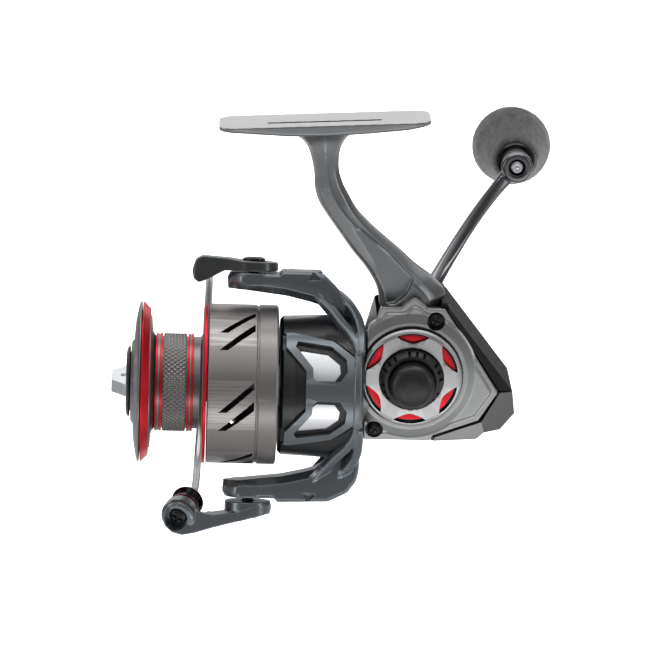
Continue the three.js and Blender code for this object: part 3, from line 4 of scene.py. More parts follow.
import bmesh
import bpy
import numpy as np
from mathutils import Matrix, Vector, noise
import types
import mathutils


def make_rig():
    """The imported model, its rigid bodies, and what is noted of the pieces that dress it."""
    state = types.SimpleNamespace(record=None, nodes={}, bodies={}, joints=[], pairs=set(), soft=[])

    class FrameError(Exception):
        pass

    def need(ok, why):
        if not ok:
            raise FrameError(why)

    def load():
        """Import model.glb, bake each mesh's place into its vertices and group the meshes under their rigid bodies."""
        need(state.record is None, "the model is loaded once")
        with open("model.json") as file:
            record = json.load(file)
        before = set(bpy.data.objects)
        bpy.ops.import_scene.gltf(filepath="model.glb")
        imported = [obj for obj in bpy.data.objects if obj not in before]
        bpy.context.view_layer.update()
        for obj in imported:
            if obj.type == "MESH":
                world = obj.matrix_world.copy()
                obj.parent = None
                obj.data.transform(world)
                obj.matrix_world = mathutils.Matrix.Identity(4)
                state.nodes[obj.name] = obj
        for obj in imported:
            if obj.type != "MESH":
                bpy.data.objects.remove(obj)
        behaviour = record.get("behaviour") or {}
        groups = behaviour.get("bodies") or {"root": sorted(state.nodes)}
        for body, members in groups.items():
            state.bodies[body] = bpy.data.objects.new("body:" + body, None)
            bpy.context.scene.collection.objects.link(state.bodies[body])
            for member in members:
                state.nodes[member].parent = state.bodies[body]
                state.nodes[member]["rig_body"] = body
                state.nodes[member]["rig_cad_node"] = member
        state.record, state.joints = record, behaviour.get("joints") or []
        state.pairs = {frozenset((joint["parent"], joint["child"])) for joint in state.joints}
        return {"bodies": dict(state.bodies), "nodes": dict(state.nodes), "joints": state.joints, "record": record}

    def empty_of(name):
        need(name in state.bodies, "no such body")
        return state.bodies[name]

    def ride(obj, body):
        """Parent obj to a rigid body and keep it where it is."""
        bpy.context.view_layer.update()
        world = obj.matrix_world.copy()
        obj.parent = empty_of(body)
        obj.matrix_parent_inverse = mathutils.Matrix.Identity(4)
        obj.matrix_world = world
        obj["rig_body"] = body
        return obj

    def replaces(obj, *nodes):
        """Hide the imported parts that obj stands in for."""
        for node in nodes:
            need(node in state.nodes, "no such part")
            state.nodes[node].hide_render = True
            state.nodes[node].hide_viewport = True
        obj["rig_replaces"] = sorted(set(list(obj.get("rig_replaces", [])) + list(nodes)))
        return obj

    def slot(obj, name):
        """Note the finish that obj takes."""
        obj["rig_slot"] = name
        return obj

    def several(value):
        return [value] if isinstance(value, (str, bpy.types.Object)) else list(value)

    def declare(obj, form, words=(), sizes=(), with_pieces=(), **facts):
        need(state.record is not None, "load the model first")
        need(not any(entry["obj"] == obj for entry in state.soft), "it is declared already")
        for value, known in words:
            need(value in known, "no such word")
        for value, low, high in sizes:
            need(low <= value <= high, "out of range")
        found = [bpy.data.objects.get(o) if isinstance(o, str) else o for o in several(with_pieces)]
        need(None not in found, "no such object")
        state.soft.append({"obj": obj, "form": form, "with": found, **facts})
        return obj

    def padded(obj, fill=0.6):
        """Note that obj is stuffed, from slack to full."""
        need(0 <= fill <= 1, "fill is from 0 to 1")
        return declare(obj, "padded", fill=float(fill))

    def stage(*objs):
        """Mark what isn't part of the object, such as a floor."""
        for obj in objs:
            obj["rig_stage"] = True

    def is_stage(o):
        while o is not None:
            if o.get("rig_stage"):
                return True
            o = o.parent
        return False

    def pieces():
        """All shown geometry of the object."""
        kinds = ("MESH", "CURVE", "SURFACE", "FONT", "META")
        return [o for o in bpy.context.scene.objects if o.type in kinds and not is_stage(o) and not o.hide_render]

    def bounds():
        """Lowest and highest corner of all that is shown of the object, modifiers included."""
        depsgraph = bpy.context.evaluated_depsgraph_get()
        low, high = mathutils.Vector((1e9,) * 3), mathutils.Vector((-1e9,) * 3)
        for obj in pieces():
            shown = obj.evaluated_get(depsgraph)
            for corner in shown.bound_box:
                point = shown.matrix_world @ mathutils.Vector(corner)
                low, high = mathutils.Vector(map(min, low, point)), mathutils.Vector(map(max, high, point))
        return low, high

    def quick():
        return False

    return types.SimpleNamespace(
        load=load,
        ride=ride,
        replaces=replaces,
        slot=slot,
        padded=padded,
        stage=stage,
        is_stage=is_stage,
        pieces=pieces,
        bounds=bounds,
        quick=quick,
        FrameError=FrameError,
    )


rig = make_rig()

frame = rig.load()
cad_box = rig.bounds()
nodes = frame["nodes"]
scene = bpy.context.scene
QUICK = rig.quick()

# --------------------------------------------------------------------------
# Frames, in millimetres: row frame, reel frame (X is the spool axis), and the
# rotor's own frame, rolled about that axis.
# --------------------------------------------------------------------------
ROW = Matrix.Identity(4)
REEL = Matrix.Translation((23.8, 0, -82.5)) @ Matrix.Rotation(
    math.radians(3.4), 4, "Y"
)
ROTOR = REEL @ Matrix.Rotation(math.radians(-14), 4, "X")
MM = Matrix.Scale(0.001, 4)
FLIP = Matrix.Rotation(math.pi, 4, "X")
HX, HZ = -1.3, 7.7  # handle axis
PIVOT_X, PIVOT_V = -47.6, 33.0

# --------------------------------------------------------------------------
# Mesh helpers
# --------------------------------------------------------------------------


def fillet(pts, r, n=3, closed=True):
    """Outline with its corners rounded. r is one radius or one for each point."""
    P = [np.array(p[:2], float) for p in pts]
    m = len(P)
    rad = r if hasattr(r, "__len__") else [r] * m
    out = []
    for i in range(m):
        if not closed and i in (0, m - 1):
            out.append(P[i])
            continue
        a, b, c = P[i - 1], P[i], P[(i + 1) % m]
        u, v = a - b, c - b
        lu, lv = np.linalg.norm(u), np.linalg.norm(v)
        if lu < 1e-6 or lv < 1e-6:
            continue
        u, v = u / lu, v / lv
        ang = math.acos(max(-1.0, min(1.0, float(u @ v))))
        if ang > math.pi - 0.03 or rad[i] <= 0 or ang < 0.02:
            out.append(b)
            continue
        t = min(rad[i] / math.tan(ang / 2), 0.45 * lu, 0.45 * lv)
        rr = t * math.tan(ang / 2)
        p0, p1 = b + u * t, b + v * t
        cen = b + (u + v) / np.linalg.norm(u + v) * (rr / math.sin(ang / 2))
        a0 = math.atan2(*(p0 - cen)[::-1])
        a1 = math.atan2(*(p1 - cen)[::-1])
        d = (a1 - a0 + math.pi) % (2 * math.pi) - math.pi
        for k in range(n + 1):
            t_ = a0 + d * k / n
            out.append(cen + rr * np.array([math.cos(t_), math.sin(t_)]))
    return [tuple(p) for p in out]


def raw(verts, faces, matrix=None):
    me = bpy.data.meshes.new("m")
    me.from_pydata([tuple(map(float, v)) for v in verts], [], faces)
    bm = bmesh.new()
    bm.from_mesh(me)
    bmesh.ops.remove_doubles(bm, verts=bm.verts, dist=1e-5)
    bmesh.ops.recalc_face_normals(bm, faces=bm.faces)
    bm.to_mesh(me)
    bm.free()
    if matrix is not None:
        me.transform(matrix)
    o = bpy.data.objects.new("o", me)
    scene.collection.objects.link(o)
    return o


def applied(o):
    dg = bpy.context.evaluated_depsgraph_get()
    me = bpy.data.meshes.new_from_object(o.evaluated_get(dg))
    old = o.data
    o.modifiers.clear()
    o.data = me
    bpy.data.meshes.remove(old)
    return o


def drop(o):
    me = o.data
    bpy.data.objects.remove(o)
    bpy.data.meshes.remove(me)


def boolean(o, tools, how="DIFFERENCE"):
    for t in tools if isinstance(tools, (list, tuple)) else [tools]:
        m = o.modifiers.new("b", "BOOLEAN")
        m.operation = how
        m.object = t
        m.solver = "EXACT"
        applied(o)
        drop(t)
    return o


def joined(objs):
    bm = bmesh.new()
    for x in objs:
        bm.from_mesh(x.data)
    me = bpy.data.meshes.new("m")
    bm.to_mesh(me)
    bm.free()
    for x in objs:
        drop(x)
    o = bpy.data.objects.new("o", me)
    scene.collection.objects.link(o)
    return o


def remeshed(o, voxel, smooth=4, factor=0.5):
    m = o.modifiers.new("r", "REMESH")
    m.mode = "VOXEL"
    m.voxel_size = voxel * (1.6 if QUICK else 1.0)
    m.adaptivity = 0
    applied(o)
    if smooth:
        m = o.modifiers.new("s", "SMOOTH")
        m.factor = factor
        m.iterations = smooth
        applied(o)
    return o


def bevelled(o, width, segs=2, angle=28):
    m = o.modifiers.new("b", "BEVEL")
    m.width = width
    m.segments = segs
    m.limit_method = "ANGLE"
    m.angle_limit = math.radians(angle)
    m.miter_outer = "MITER_ARC"
    m.use_clamp_overlap = True
    return applied(o)


def prism(outline, axis, lo, hi):
    """Closed prism over an outline: axis y takes (x, z), x takes (y, z), z takes (x, y)."""
    n = len(outline)

    def at(p, h):
        a, b = p[0], p[1]
        return {"y": (a, h, b), "x": (h, a, b), "z": (a, b, h)}[axis]

    v = [at(p, lo) for p in outline] + [at(p, hi) for p in outline]
    f = [list(range(n)), list(range(2 * n - 1, n - 1, -1))]
    f += [[i, (i + 1) % n, n + (i + 1) % n, n + i] for i in range(n)]
    return raw(v, f)


def block(x0, x1, y0, y1, z0, z1):
    return prism([(x0, z0), (x1, z0), (x1, z1), (x0, z1)], "y", y0, y1)


def lathe(profile, seg=128, axis="x", at=(0, 0), fil=0.25, matrix=None, n=3):
    """Turned shape from (height, radius) pairs. A profile that leaves the axis closes on itself."""
    solid_ = profile[0][1] <= 1e-6 and profile[-1][1] <= 1e-6
    p = fillet(profile, fil, n, closed=not solid_) if np.max(fil) > 0 else profile
    a = np.arange(seg) * (2 * math.pi / seg)
    v, rings = [], []
    for h, r in p:
        if r <= 1e-6:
            rings.append([len(v)])
            v.append((h, 0.0, 0.0))
        else:
            rings.append(list(range(len(v), len(v) + seg)))
            v += [(h, r * math.cos(t), r * math.sin(t)) for t in a]
    f = []
    m = len(p)
    for i in range(m - 1 if solid_ else m):
        A, B = rings[i], rings[(i + 1) % m]
        for j in range(seg):
            k = (j + 1) % seg
            if len(A) == 1 and len(B) == 1:
                continue
            if len(A) == 1:
                f.append([A[0], B[k], B[j]])
            elif len(B) == 1:
                f.append([A[j], A[k], B[0]])
            else:
                f.append([A[j], A[k], B[k], B[j]])
    if axis == "y":
        v = [(at[0] + y, x, at[1] + z) for x, y, z in v]
    elif axis == "z":
        v = [(at[0] + y, at[1] + z, x) for x, y, z in v]
    else:
        v = [(x, at[0] + y, at[1] + z) for x, y, z in v]
    return raw(v, f, matrix)


def rod(axis, r, a, b, at=(0, 0), seg=48, fil=0.0):
    return lathe([(a, 0), (a, r), (b, r), (b, 0)], seg, axis, at, fil)


def loft(rings, closed_ends=True):
    n = len(rings[0])
    v = [p for ring in rings for p in ring]
    f = []
    for i in range(len(rings) - 1):
        for j in range(n):
            k = (j + 1) % n
            f.append([i * n + j, i * n + k, (i + 1) * n + k, (i + 1) * n + j])
    if closed_ends:
        f.append(list(range(n)))
        f.append(list(range((len(rings) - 1) * n, len(rings) * n)))
    return raw(v, f)


def spline(pts, n):
    """Centripetal-like Catmull-Rom through points, resampled to n samples."""
    P = np.array(pts, float)
    d = np.r_[0, np.cumsum(np.linalg.norm(np.diff(P[:, :3], axis=0), axis=1) ** 0.5)]
    t = np.linspace(0, d[-1], n)
    out = np.zeros((n, P.shape[1]))
    # cubic Hermite with finite-difference tangents
    T = np.gradient(P, d, axis=0)
    i = np.clip(np.searchsorted(d, t, side="right") - 1, 0, len(P) - 2)
    h = (d[i + 1] - d[i])[:, None]
    s = ((t - d[i])[:, None]) / h
    out = (
        (2 * s**3 - 3 * s**2 + 1) * P[i]
        + (s**3 - 2 * s**2 + s) * h * T[i]
        + (-2 * s**3 + 3 * s**2) * P[i + 1]
        + (s**3 - s**2) * h * T[i + 1]
    )
    return out


def along_line(pts, n):
    """n points spaced evenly along a polyline."""
    P = np.array(pts, float)
    d = np.r_[0, np.cumsum(np.linalg.norm(np.diff(P, axis=0), axis=1))]
    t = np.linspace(0, d[-1], n)
    return np.stack([np.interp(t, d, P[:, k]) for k in range(P.shape[1])], axis=1)


def tube(pts, radius, n=120, sides=20, flat=1.0, up=(1, 0, 0)):
    """Round or flattened bar along a smooth curve, closed flat at both ends."""
    C = spline(pts, n)
    D = np.gradient(C[:, :3], axis=0)
    D /= np.linalg.norm(D, axis=1)[:, None]
    rings = []
    U = np.array(up, float)
    for i in range(n):
        U = U - D[i] * (U @ D[i])
        U /= np.linalg.norm(U)
        W = np.cross(D[i], U)
        r = radius(i / (n - 1)) if callable(radius) else radius
        rings.append(
            [
                tuple(
                    C[i, :3]
                    + U * r * math.cos(2 * math.pi * j / sides)
                    + W * r * flat * math.sin(2 * math.pi * j / sides)
                )
                for j in range(sides)
            ]
        )
    return loft(rings)


def circle(cx, cy, r, n, a0=0.0):
    return [
        (
            cx + r * math.cos(a0 + 2 * math.pi * i / n),
            cy + r * math.sin(a0 + 2 * math.pi * i / n),
        )
        for i in range(n)
    ]


def wedge(poly, r0, r1):
    """Solid over (x, angle) points round the X axis, from radius r0 to r1; angle from -Y towards +Z, in degrees."""
    a = []
    for i, p in enumerate(poly):
        q = poly[(i + 1) % len(poly)]
        steps = max(1, int(abs(q[1] - p[1]) / 3))
        for k in range(steps):
            a.append(
                (p[0] + (q[0] - p[0]) * k / steps, p[1] + (q[1] - p[1]) * k / steps)
            )
    flat = [(x, s) for x, s in a]
    o = curved_plate([flat], [], r0, r1, bevel=0)
    return o


def curved_plate(outlines, holes, r0, r1, bevel=0.3, step=2.5, fil=0.0, segs=2):
    """Plate over (x, angle) outlines, bevelled flat and then wrapped round the X axis between radii r0 and r1."""
    k = math.radians(1) * (r0 + r1) / 2
    solids = []
    for poly in outlines:
        p = [(x, s * k) for x, s in poly]
        if fil:
            p = fillet(p, fil, 3)
        o = prism(p, "z", 0, r1 - r0)
        tools = []
        for h in holes:
            q = [(x, s * k) for x, s in h]
            if fil:
                q = fillet(q, fil, 3)
            tools.append(prism(q, "z", -2, r1 - r0 + 2))
        if tools:
            boolean(o, tools)
        if bevel:
            bevelled(o, bevel, segs)
        solids.append(o)
    o = joined(solids) if len(solids) > 1 else solids[0]
    bm = bmesh.new()
    bm.from_mesh(o.data)
    lo = min(v.co.y for v in bm.verts)
    hi = max(v.co.y for v in bm.verts)
    s = math.ceil(lo / (step * k)) * step * k
    while s < hi:
        bmesh.ops.bisect_plane(
            bm,
            geom=bm.verts[:] + bm.edges[:] + bm.faces[:],
            plane_co=(0, s, 0),
            plane_no=(0, 1, 0),
            dist=1e-5,
        )
        s += step * k
    for v in bm.verts:
        a, r = v.co.y / k * math.radians(1), r0 + v.co.z
        v.co = Vector((v.co.x, -r * math.cos(a), r * math.sin(a)))
    bmesh.ops.recalc_face_normals(bm, faces=bm.faces)
    bm.to_mesh(o.data)
    bm.free()
    return o


# --------------------------------------------------------------------------
# Materials. All are built from nodes on object coordinates, in metres.
# --------------------------------------------------------------------------


class Mat:
    def __init__(self, name, metallic=0.0, specular=0.5):
        self.m = bpy.data.materials.new(name)
        self.m.use_nodes = True
        self.nt = self.m.node_tree
        self.b = self.nt.nodes["Principled BSDF"]
        self.b.inputs["Metallic"].default_value = metallic
        self.b.inputs["Specular IOR Level"].default_value = specular
        self.tc = self.nt.nodes.new("ShaderNodeTexCoord").outputs["Object"]

    def node(self, kind, **kw):
        n = self.nt.nodes.new(kind)
        for k, v in kw.items():
            setattr(n, k, v)
        return n

    def link(self, a, b):
        self.nt.links.new(a, b)

    def noise(self, scale, detail=4.0, rough=0.55, stretch=None, distortion=0.0):
        n = self.node("ShaderNodeTexNoise")
        n.inputs["Scale"].default_value = scale
        n.inputs["Detail"].default_value = detail
        n.inputs["Roughness"].default_value = rough
        n.inputs["Distortion"].default_value = distortion
        src = self.tc
        if stretch is not None:
            mp = self.node("ShaderNodeMapping")
            mp.inputs["Scale"].default_value = stretch
            mp.inputs["Rotation"].default_value = (0, math.radians(-3.4), 0)
            self.link(src, mp.inputs["Vector"])
            src = mp.outputs["Vector"]
        self.link(src, n.inputs["Vector"])
        return n.outputs["Fac"]

    def ramp(self, fac, stops):
        r = self.node("ShaderNodeValToRGB")
        e = r.color_ramp.elements
        while len(e) < len(stops):
            e.new(0.5)
        for el, (p, c) in zip(e, stops):
            el.position = p
            el.color = (*c, 1) if len(c) == 3 else c
        self.link(fac, r.inputs["Fac"])
        return r.outputs["Color"]

    def span(self, fac, a, b, lo=0.3, hi=0.7):
        r = self.node("ShaderNodeMapRange")
        r.inputs["From Min"].default_value = lo
        r.inputs["From Max"].default_value = hi
        r.inputs["To Min"].default_value = a
        r.inputs["To Max"].default_value = b
        self.link(fac, r.inputs["Value"])
        return r.outputs["Result"]

    def mix(self, fac, a, b, how="MIX"):
        n = self.node("ShaderNodeMix", data_type="RGBA", blend_type=how)
        if isinstance(fac, float):
            n.inputs[0].default_value = fac
        else:
            self.link(fac, n.inputs[0])
        for sock, v in ((n.inputs[6], a), (n.inputs[7], b)):
            if isinstance(v, tuple):
                sock.default_value = (*v, 1)
            else:
                self.link(v, sock)
        return n.outputs[2]

    def math(self, op, a, b):
        n = self.node("ShaderNodeMath", operation=op)
        for sock, v in ((n.inputs[0], a), (n.inputs[1], b)):
            if isinstance(v, (int, float)):
                sock.default_value = v
            else:
                self.link(v, sock)
        return n.outputs[0]

    def bump(self, height, strength=0.3, distance=0.0001, normal=None):
        n = self.node("ShaderNodeBump")
        n.inputs["Strength"].default_value = strength
        n.inputs["Distance"].default_value = distance
        self.link(height, n.inputs["Height"])
        if normal is not None:
            self.link(normal, n.inputs["Normal"])
        return n.outputs["Normal"]

    def set(self, **kw):
        for k, v in kw.items():
            sock = self.b.inputs[k.replace("_", " ")]
            if isinstance(v, (int, float)):
                sock.default_value = v
            elif isinstance(v, tuple):
                sock.default_value = (*v, 1) if len(v) == 3 else v
            else:
                self.link(v, sock)
        return self


def scaled(c, k):
    return tuple(min(1.0, x * k) for x in c)


def paint(name, color, metallic=0.75, rough=0.36, flake=0.10, coat=0.35, edge=0.25, grain=0.012):
    """Satin metallic paint over cast metal: fine flake, faint orange peel, convex edges painted brighter as a painted
    highlight.
    """
    m = Mat(name, metallic)
    fine = m.noise(5200, 2, 0.6)
    cloud = m.noise(55, 3, 0.5)
    c = m.mix(m.span(fine, 0, 1, 0.36, 0.66), scaled(color, 1 - flake), scaled(color, 1 + flake * 1.6))
    c = m.mix(m.span(cloud, 0, 0.35, 0.35, 0.7), c, scaled(color, 1.12))
    geo = m.node("ShaderNodeNewGeometry")
    # Convex edges are painted brighter: a painted highlight, its strength set by edge.
    edge_highlight = m.span(geo.outputs["Pointiness"], 0, edge, 0.52, 0.60)
    c = m.mix(edge_highlight, c, scaled(color, 2.6))
    m.set(
        Base_Color=c,
        Roughness=m.span(m.noise(900, 4, 0.6), rough - 0.02, rough + 0.03),
        Coat_Weight=coat,
        Coat_Roughness=0.14,
        Normal=m.bump(m.noise(3400, 3, 0.6), grain, 0.00003, m.bump(m.noise(420, 2), 0.012, 0.00006)),
    )
    return m.m


def plastic(name, color, rough=0.42, grain=0.25, scale=2600, var=0.25, metallic=0.0, coat=0.0, spec=0.5):
    m = Mat(name, metallic)
    c = m.mix(m.span(m.noise(scale, 3), 0, 1, 0.35, 0.65), scaled(color, 1 - var), scaled(color, 1 + var))
    c = m.mix(m.span(m.noise(70, 3), 0, 0.5), c, scaled(color, 1.25))
    m.set(
        Base_Color=c,
        Roughness=m.span(m.noise(600, 4), rough - 0.06, rough + 0.08),
        Specular_IOR_Level=spec,
        Coat_Weight=coat,
        Coat_Roughness=0.15,
        Normal=m.bump(m.noise(scale, 3, 0.6), grain, 0.00008),
    )
    return m.m


def turned(name, color, metallic=0.9, rough=0.3, lines=0.35, aniso=0.5, var=0.14, fine=9000, band=0.4):
    """Turned and anodised metal: fine rings along the spool axis."""
    m = Mat(name, metallic)
    n = m.noise(1.0, 4, 0.65, stretch=(fine, 60, 60))
    n2 = m.noise(1.0, 2, 0.5, stretch=(fine * 0.22, 18, 18))
    c = m.mix(m.span(n, 0, 1, 0.3, 0.7), scaled(color, 1 - var), scaled(color, 1 + var))
    c = m.mix(m.span(n2, 0, band, 0.4, 0.7), c, scaled(color, 1.2))
    geo = m.node("ShaderNodeNewGeometry")
    # Convex edges are painted brighter: a painted highlight.
    c = m.mix(m.span(geo.outputs["Pointiness"], 0, 0.5, 0.53, 0.6), c, scaled(color, 1.9))
    m.set(
        Base_Color=c,
        Roughness=m.span(n, rough - 0.02, rough + 0.04),
        Anisotropic=aniso,
        Normal=m.bump(n, lines, 0.00004, m.bump(m.noise(4200, 2), 0.06, 0.00004)),
    )
    return m.m


def polished(name, color, rough=0.12, metallic=1.0, smear=0.05, scratch=0.05):
    m = Mat(name, metallic)
    cloud = m.noise(160, 4)
    c = m.mix(m.span(cloud, 0, 1), scaled(color, 0.9), scaled(color, 1.1))
    fine = m.noise(1.0, 3, 0.6, stretch=(900, 6000, 900))
    m.set(
        Base_Color=c,
        Roughness=m.span(m.noise(700, 4), rough - smear * 0.5, rough + smear),
        Normal=m.bump(fine, scratch, 0.00003),
    )
    return m.m


def foam(name, color):
    """Closed-cell foam: mottled grey skin with fine open pores."""
    m = Mat(name, 0.0, 0.25)
    cells = m.node("ShaderNodeTexVoronoi")
    cells.inputs["Scale"].default_value = 1500
    m.link(m.tc, cells.inputs["Vector"])
    pores = cells.outputs["Distance"]
    mott = m.noise(430, 6, 0.72)
    big = m.noise(90, 3, 0.6)
    c = m.mix(m.span(mott, 0, 1, 0.34, 0.66), scaled(color, 0.62), scaled(color, 1.5))
    # The pores are painted darker: painted shade inside the pores.
    c = m.mix(m.span(pores, 0.55, 0.0, 0.02, 0.28), c, scaled(color, 0.35))
    c = m.mix(m.span(big, 0, 0.5, 0.45, 0.75), c, scaled(color, 1.5))
    m.set(
        Base_Color=c,
        Roughness=m.span(mott, 0.82, 0.98),
        Sheen_Weight=0.25,
        Sheen_Roughness=0.5,
        Normal=m.bump(pores, 0.35, 0.00022, m.bump(mott, 0.55, 0.0003)),
    )
    return m.m


def felt(name, color):
    m = Mat(name, 0.0, 0.2)
    n = m.noise(2600, 8, 0.8, distortion=1.2)
    m.set(
        Base_Color=m.mix(m.span(n, 0, 1), scaled(color, 0.6), scaled(color, 1.6)),
        Roughness=m.span(n, 0.85, 1.0),
        Sheen_Weight=0.4,
        Normal=m.bump(n, 0.8, 0.0002),
    )
    return m.m


GUNMETAL = paint("gunmetal_paint", (0.175, 0.180, 0.184), metallic=0.85, rough=0.31, flake=0.05, grain=0.0, edge=0.28)
COVER = paint("cover_paint", (0.285, 0.288, 0.290), metallic=0.88, rough=0.31, flake=0.03, grain=0.0, edge=0.2)
PLATE = paint("plate_satin", (0.42, 0.422, 0.426), metallic=0.92, rough=0.31, flake=0.02, coat=0.1, edge=0.1, grain=0.0)
ROTORP = paint("rotor_paint", (0.150, 0.168, 0.182), metallic=0.85, rough=0.31, flake=0.03, grain=0.0, edge=0.6)
HOLDER = paint("holder_dark_paint", (0.075, 0.078, 0.080), metallic=0.85, rough=0.31, flake=0.05, grain=0.0, edge=0.5)
DRUM = paint("drum_black_paint", (0.014, 0.014, 0.015), metallic=0.4, rough=0.32, coat=0.3, edge=0.2)
PAINTED_LIT_TOP = paint("rod_seat_paint", (0.42, 0.42, 0.417), rough=0.42, flake=0.05)
BLACK = plastic("black_plastic", (0.006, 0.006, 0.0065), rough=0.36, grain=0.15)
WINDOW_PAINTED_SHADE = plastic("window_wall_black", (0.012, 0.012, 0.013), rough=0.4, grain=0.1)
STRIP = plastic("strip_black", (0.008, 0.008, 0.0085), rough=0.55, grain=0.3, spec=0.18)
DARK = plastic("dark_plastic", (0.016, 0.016, 0.017), rough=0.34, grain=0.15, metallic=0.3)
GUARD = paint("guard_dark_paint", (0.085, 0.083, 0.086), metallic=0.8, rough=0.31, flake=0.04, grain=0.0, edge=0.4)
RED = turned("red_anodised", (0.56, 0.012, 0.022), metallic=0.75, rough=0.32, lines=0.08)
DARKRED = turned("dark_red_accent", (0.22, 0.01, 0.015), metallic=0.75, rough=0.3, lines=0.08)
SPOOL = turned("spool_anodised", (0.22, 0.208, 0.202), metallic=0.9, rough=0.33, lines=0.05, var=0.04, band=0.15)
SKIRT = turned("skirt_anodised", (0.27, 0.255, 0.247), metallic=0.9, rough=0.36, lines=0.004, var=0.012, aniso=0.2, band=0.03)
KNURL = turned("knurl_anodised", (0.20, 0.193, 0.187), metallic=0.85, rough=0.36, lines=0.05)
BRIGHT = polished("bright_metal", (0.62, 0.635, 0.65), rough=0.16)
LINER = turned("liner_silver", (0.80, 0.81, 0.83), metallic=0.9, rough=0.30, lines=0.01, var=0.02, fine=3000, band=0.1)
STEEL = turned("plain_steel", (0.52, 0.53, 0.54), metallic=1.0, rough=0.26, lines=0.3)
ALLOY = turned("light_alloy", (0.58, 0.59, 0.6), metallic=0.95, rough=0.34)
BRASS = turned("gear_brass", (0.62, 0.45, 0.20), metallic=1.0, rough=0.28, lines=0.25)
BLACKCHROME = polished("black_chrome", (0.17, 0.172, 0.178), rough=0.12, scratch=0.015)
WIRE = polished("wire_metal", (0.30, 0.305, 0.31), rough=0.2, scratch=0.02)
ROLLER = polished("roller_gloss", (0.03, 0.03, 0.033), rough=0.1, scratch=0.02)
SCREW = polished("black_screw", (0.012, 0.012, 0.013), rough=0.25, metallic=0.5, scratch=0.1)
FOAM = foam("knob_foam", (0.072, 0.070, 0.069))
FELT = felt("drag_felt", (0.05, 0.045, 0.04))

SLOT_OF = {s["node"]: s["material_slot"] for s in frame["record"]["subparts"]}
SLOT_MAT = {
    "gunmetal_paint": GUNMETAL,
    "cover_paint": COVER,
    "rotor_paint": ROTORP,
    "black_plastic": BLACK,
    "dark_plastic": DARK,
    "red_anodised": RED,
    "spool_anodised": SPOOL,
    "bright_metal": BRIGHT,
    "plain_steel": STEEL,
    "light_alloy": ALLOY,
    "gear_brass": BRASS,
    "black_chrome": BLACKCHROME,
    "knob_foam": FOAM,
    "drag_felt": FELT,
}
BODY_OF = {n: o["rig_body"] for n, o in nodes.items()}

# The CAD nodes that stay keep their shape and take a finish.
for name, o in nodes.items():
    o.data.materials.clear()
    o.data.materials.append(SLOT_MAT[SLOT_OF[name]])
    o.data.shade_smooth()
    o.data.set_sharp_from_angle(angle=math.radians(32))


def piece(o, name, mat, stands_for, matrix=REEL, sharp=38, weighted=True, body=None):
    """Moves a finished mesh into the row frame, in metres, and hands it over to its CAD body."""
    stands_for = [stands_for] if isinstance(stands_for, str) else list(stands_for)
    o.data.transform(MM @ matrix)
    o.name = name
    o.data.name = name
    o.data.materials.clear()
    for m in mat if isinstance(mat, (list, tuple)) else [mat]:
        o.data.materials.append(m)
    o.data.shade_smooth()
    if sharp:
        o.data.set_sharp_from_angle(angle=math.radians(sharp))
    if weighted:
        m = o.modifiers.new("n", "WEIGHTED_NORMAL")
        m.keep_sharp = True
        m.weight = 60
    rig.ride(o, body or BODY_OF[stands_for[0]])
    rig.replaces(o, *stands_for)
    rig.slot(o, SLOT_OF[stands_for[0]])
    return o


def painted(o, mat, test, matrix=REEL):
    """Gives another finish to the faces whose centre, in local millimetres, passes the test."""
    inv = (MM @ matrix).inverted()
    rot = matrix.to_3x3().inverted()
    o.data.materials.append(mat)
    k = len(o.data.materials) - 1
    for f in o.data.polygons:
        if test(inv @ f.center, rot @ f.normal):
            f.material_index = k
    return o


# --------------------------------------------------------------------------
# Camera, lights and floor
# --------------------------------------------------------------------------
A, E, ROLL = math.radians(-1.0), math.radians(18.0), math.radians(1.44)
cb = Vector((math.sin(A) * math.cos(E), -math.cos(A) * math.cos(E), math.sin(E)))
r0 = Vector((math.cos(A), math.sin(A), 0))
u0 = cb.cross(r0)
cr = r0 * math.cos(ROLL) - u0 * math.sin(ROLL)
cu = r0 * math.sin(ROLL) + u0 * math.cos(ROLL)
centre = Vector((0.0238, 0, -0.0825))
eye = centre + cb * 1.118 - cr * (0.02302 * 1.118) + cu * (0.0166 * 1.118)
cam = bpy.data.cameras.new("camera")
cam.sensor_width = 36
cam.sensor_fit = "HORIZONTAL"
cam.lens = 3801.2 / 650 * 36
cam.clip_start, cam.clip_end = 0.05, 20
cam_obj = bpy.data.objects.new("camera", cam)
scene.collection.objects.link(cam_obj)
cam_obj.matrix_world = Matrix(
    (
        (cr.x, cu.x, cb.x, eye.x),
        (cr.y, cu.y, cb.y, eye.y),
        (cr.z, cu.z, cb.z, eye.z),
        (0, 0, 0, 1),
    )
)
scene.camera = cam_obj
scene.view_settings.view_transform = "Standard"
scene.view_settings.look = "None"


def softbox(name, where, size, power, look=(0.0, 0.0, -0.08), color=(1, 1, 1), glossy=True):
    d = bpy.data.lights.new(name, "AREA")
    d.shape = "RECTANGLE"
    d.size, d.size_y = size
    d.energy = power
    d.color = color
    o = bpy.data.objects.new(name, d)
    scene.collection.objects.link(o)
    o.location = where
    o.rotation_euler = (
        (Vector(where) - Vector(look)).to_track_quat("Z", "Y").to_euler()
    )
    o.visible_glossy = glossy
    return o


softbox("overhead", (0.0, 0.12, 0.95), (1.4, 0.6), 4.6)
softbox("back_wall", (0.0, 1.15, 0.34), (2.2, 0.9), 6.0)
softbox("card_low_near", (0.03, -0.30, -0.235), (0.36, 0.10), 0.14, look=(0.03, 0.0, -0.09))
softbox("fill_left", (-0.95, -0.45, 0.12), (0.22, 0.7), 1.6)
softbox("fill_right", (0.95, -0.40, 0.12), (0.22, 0.7), 1.3)

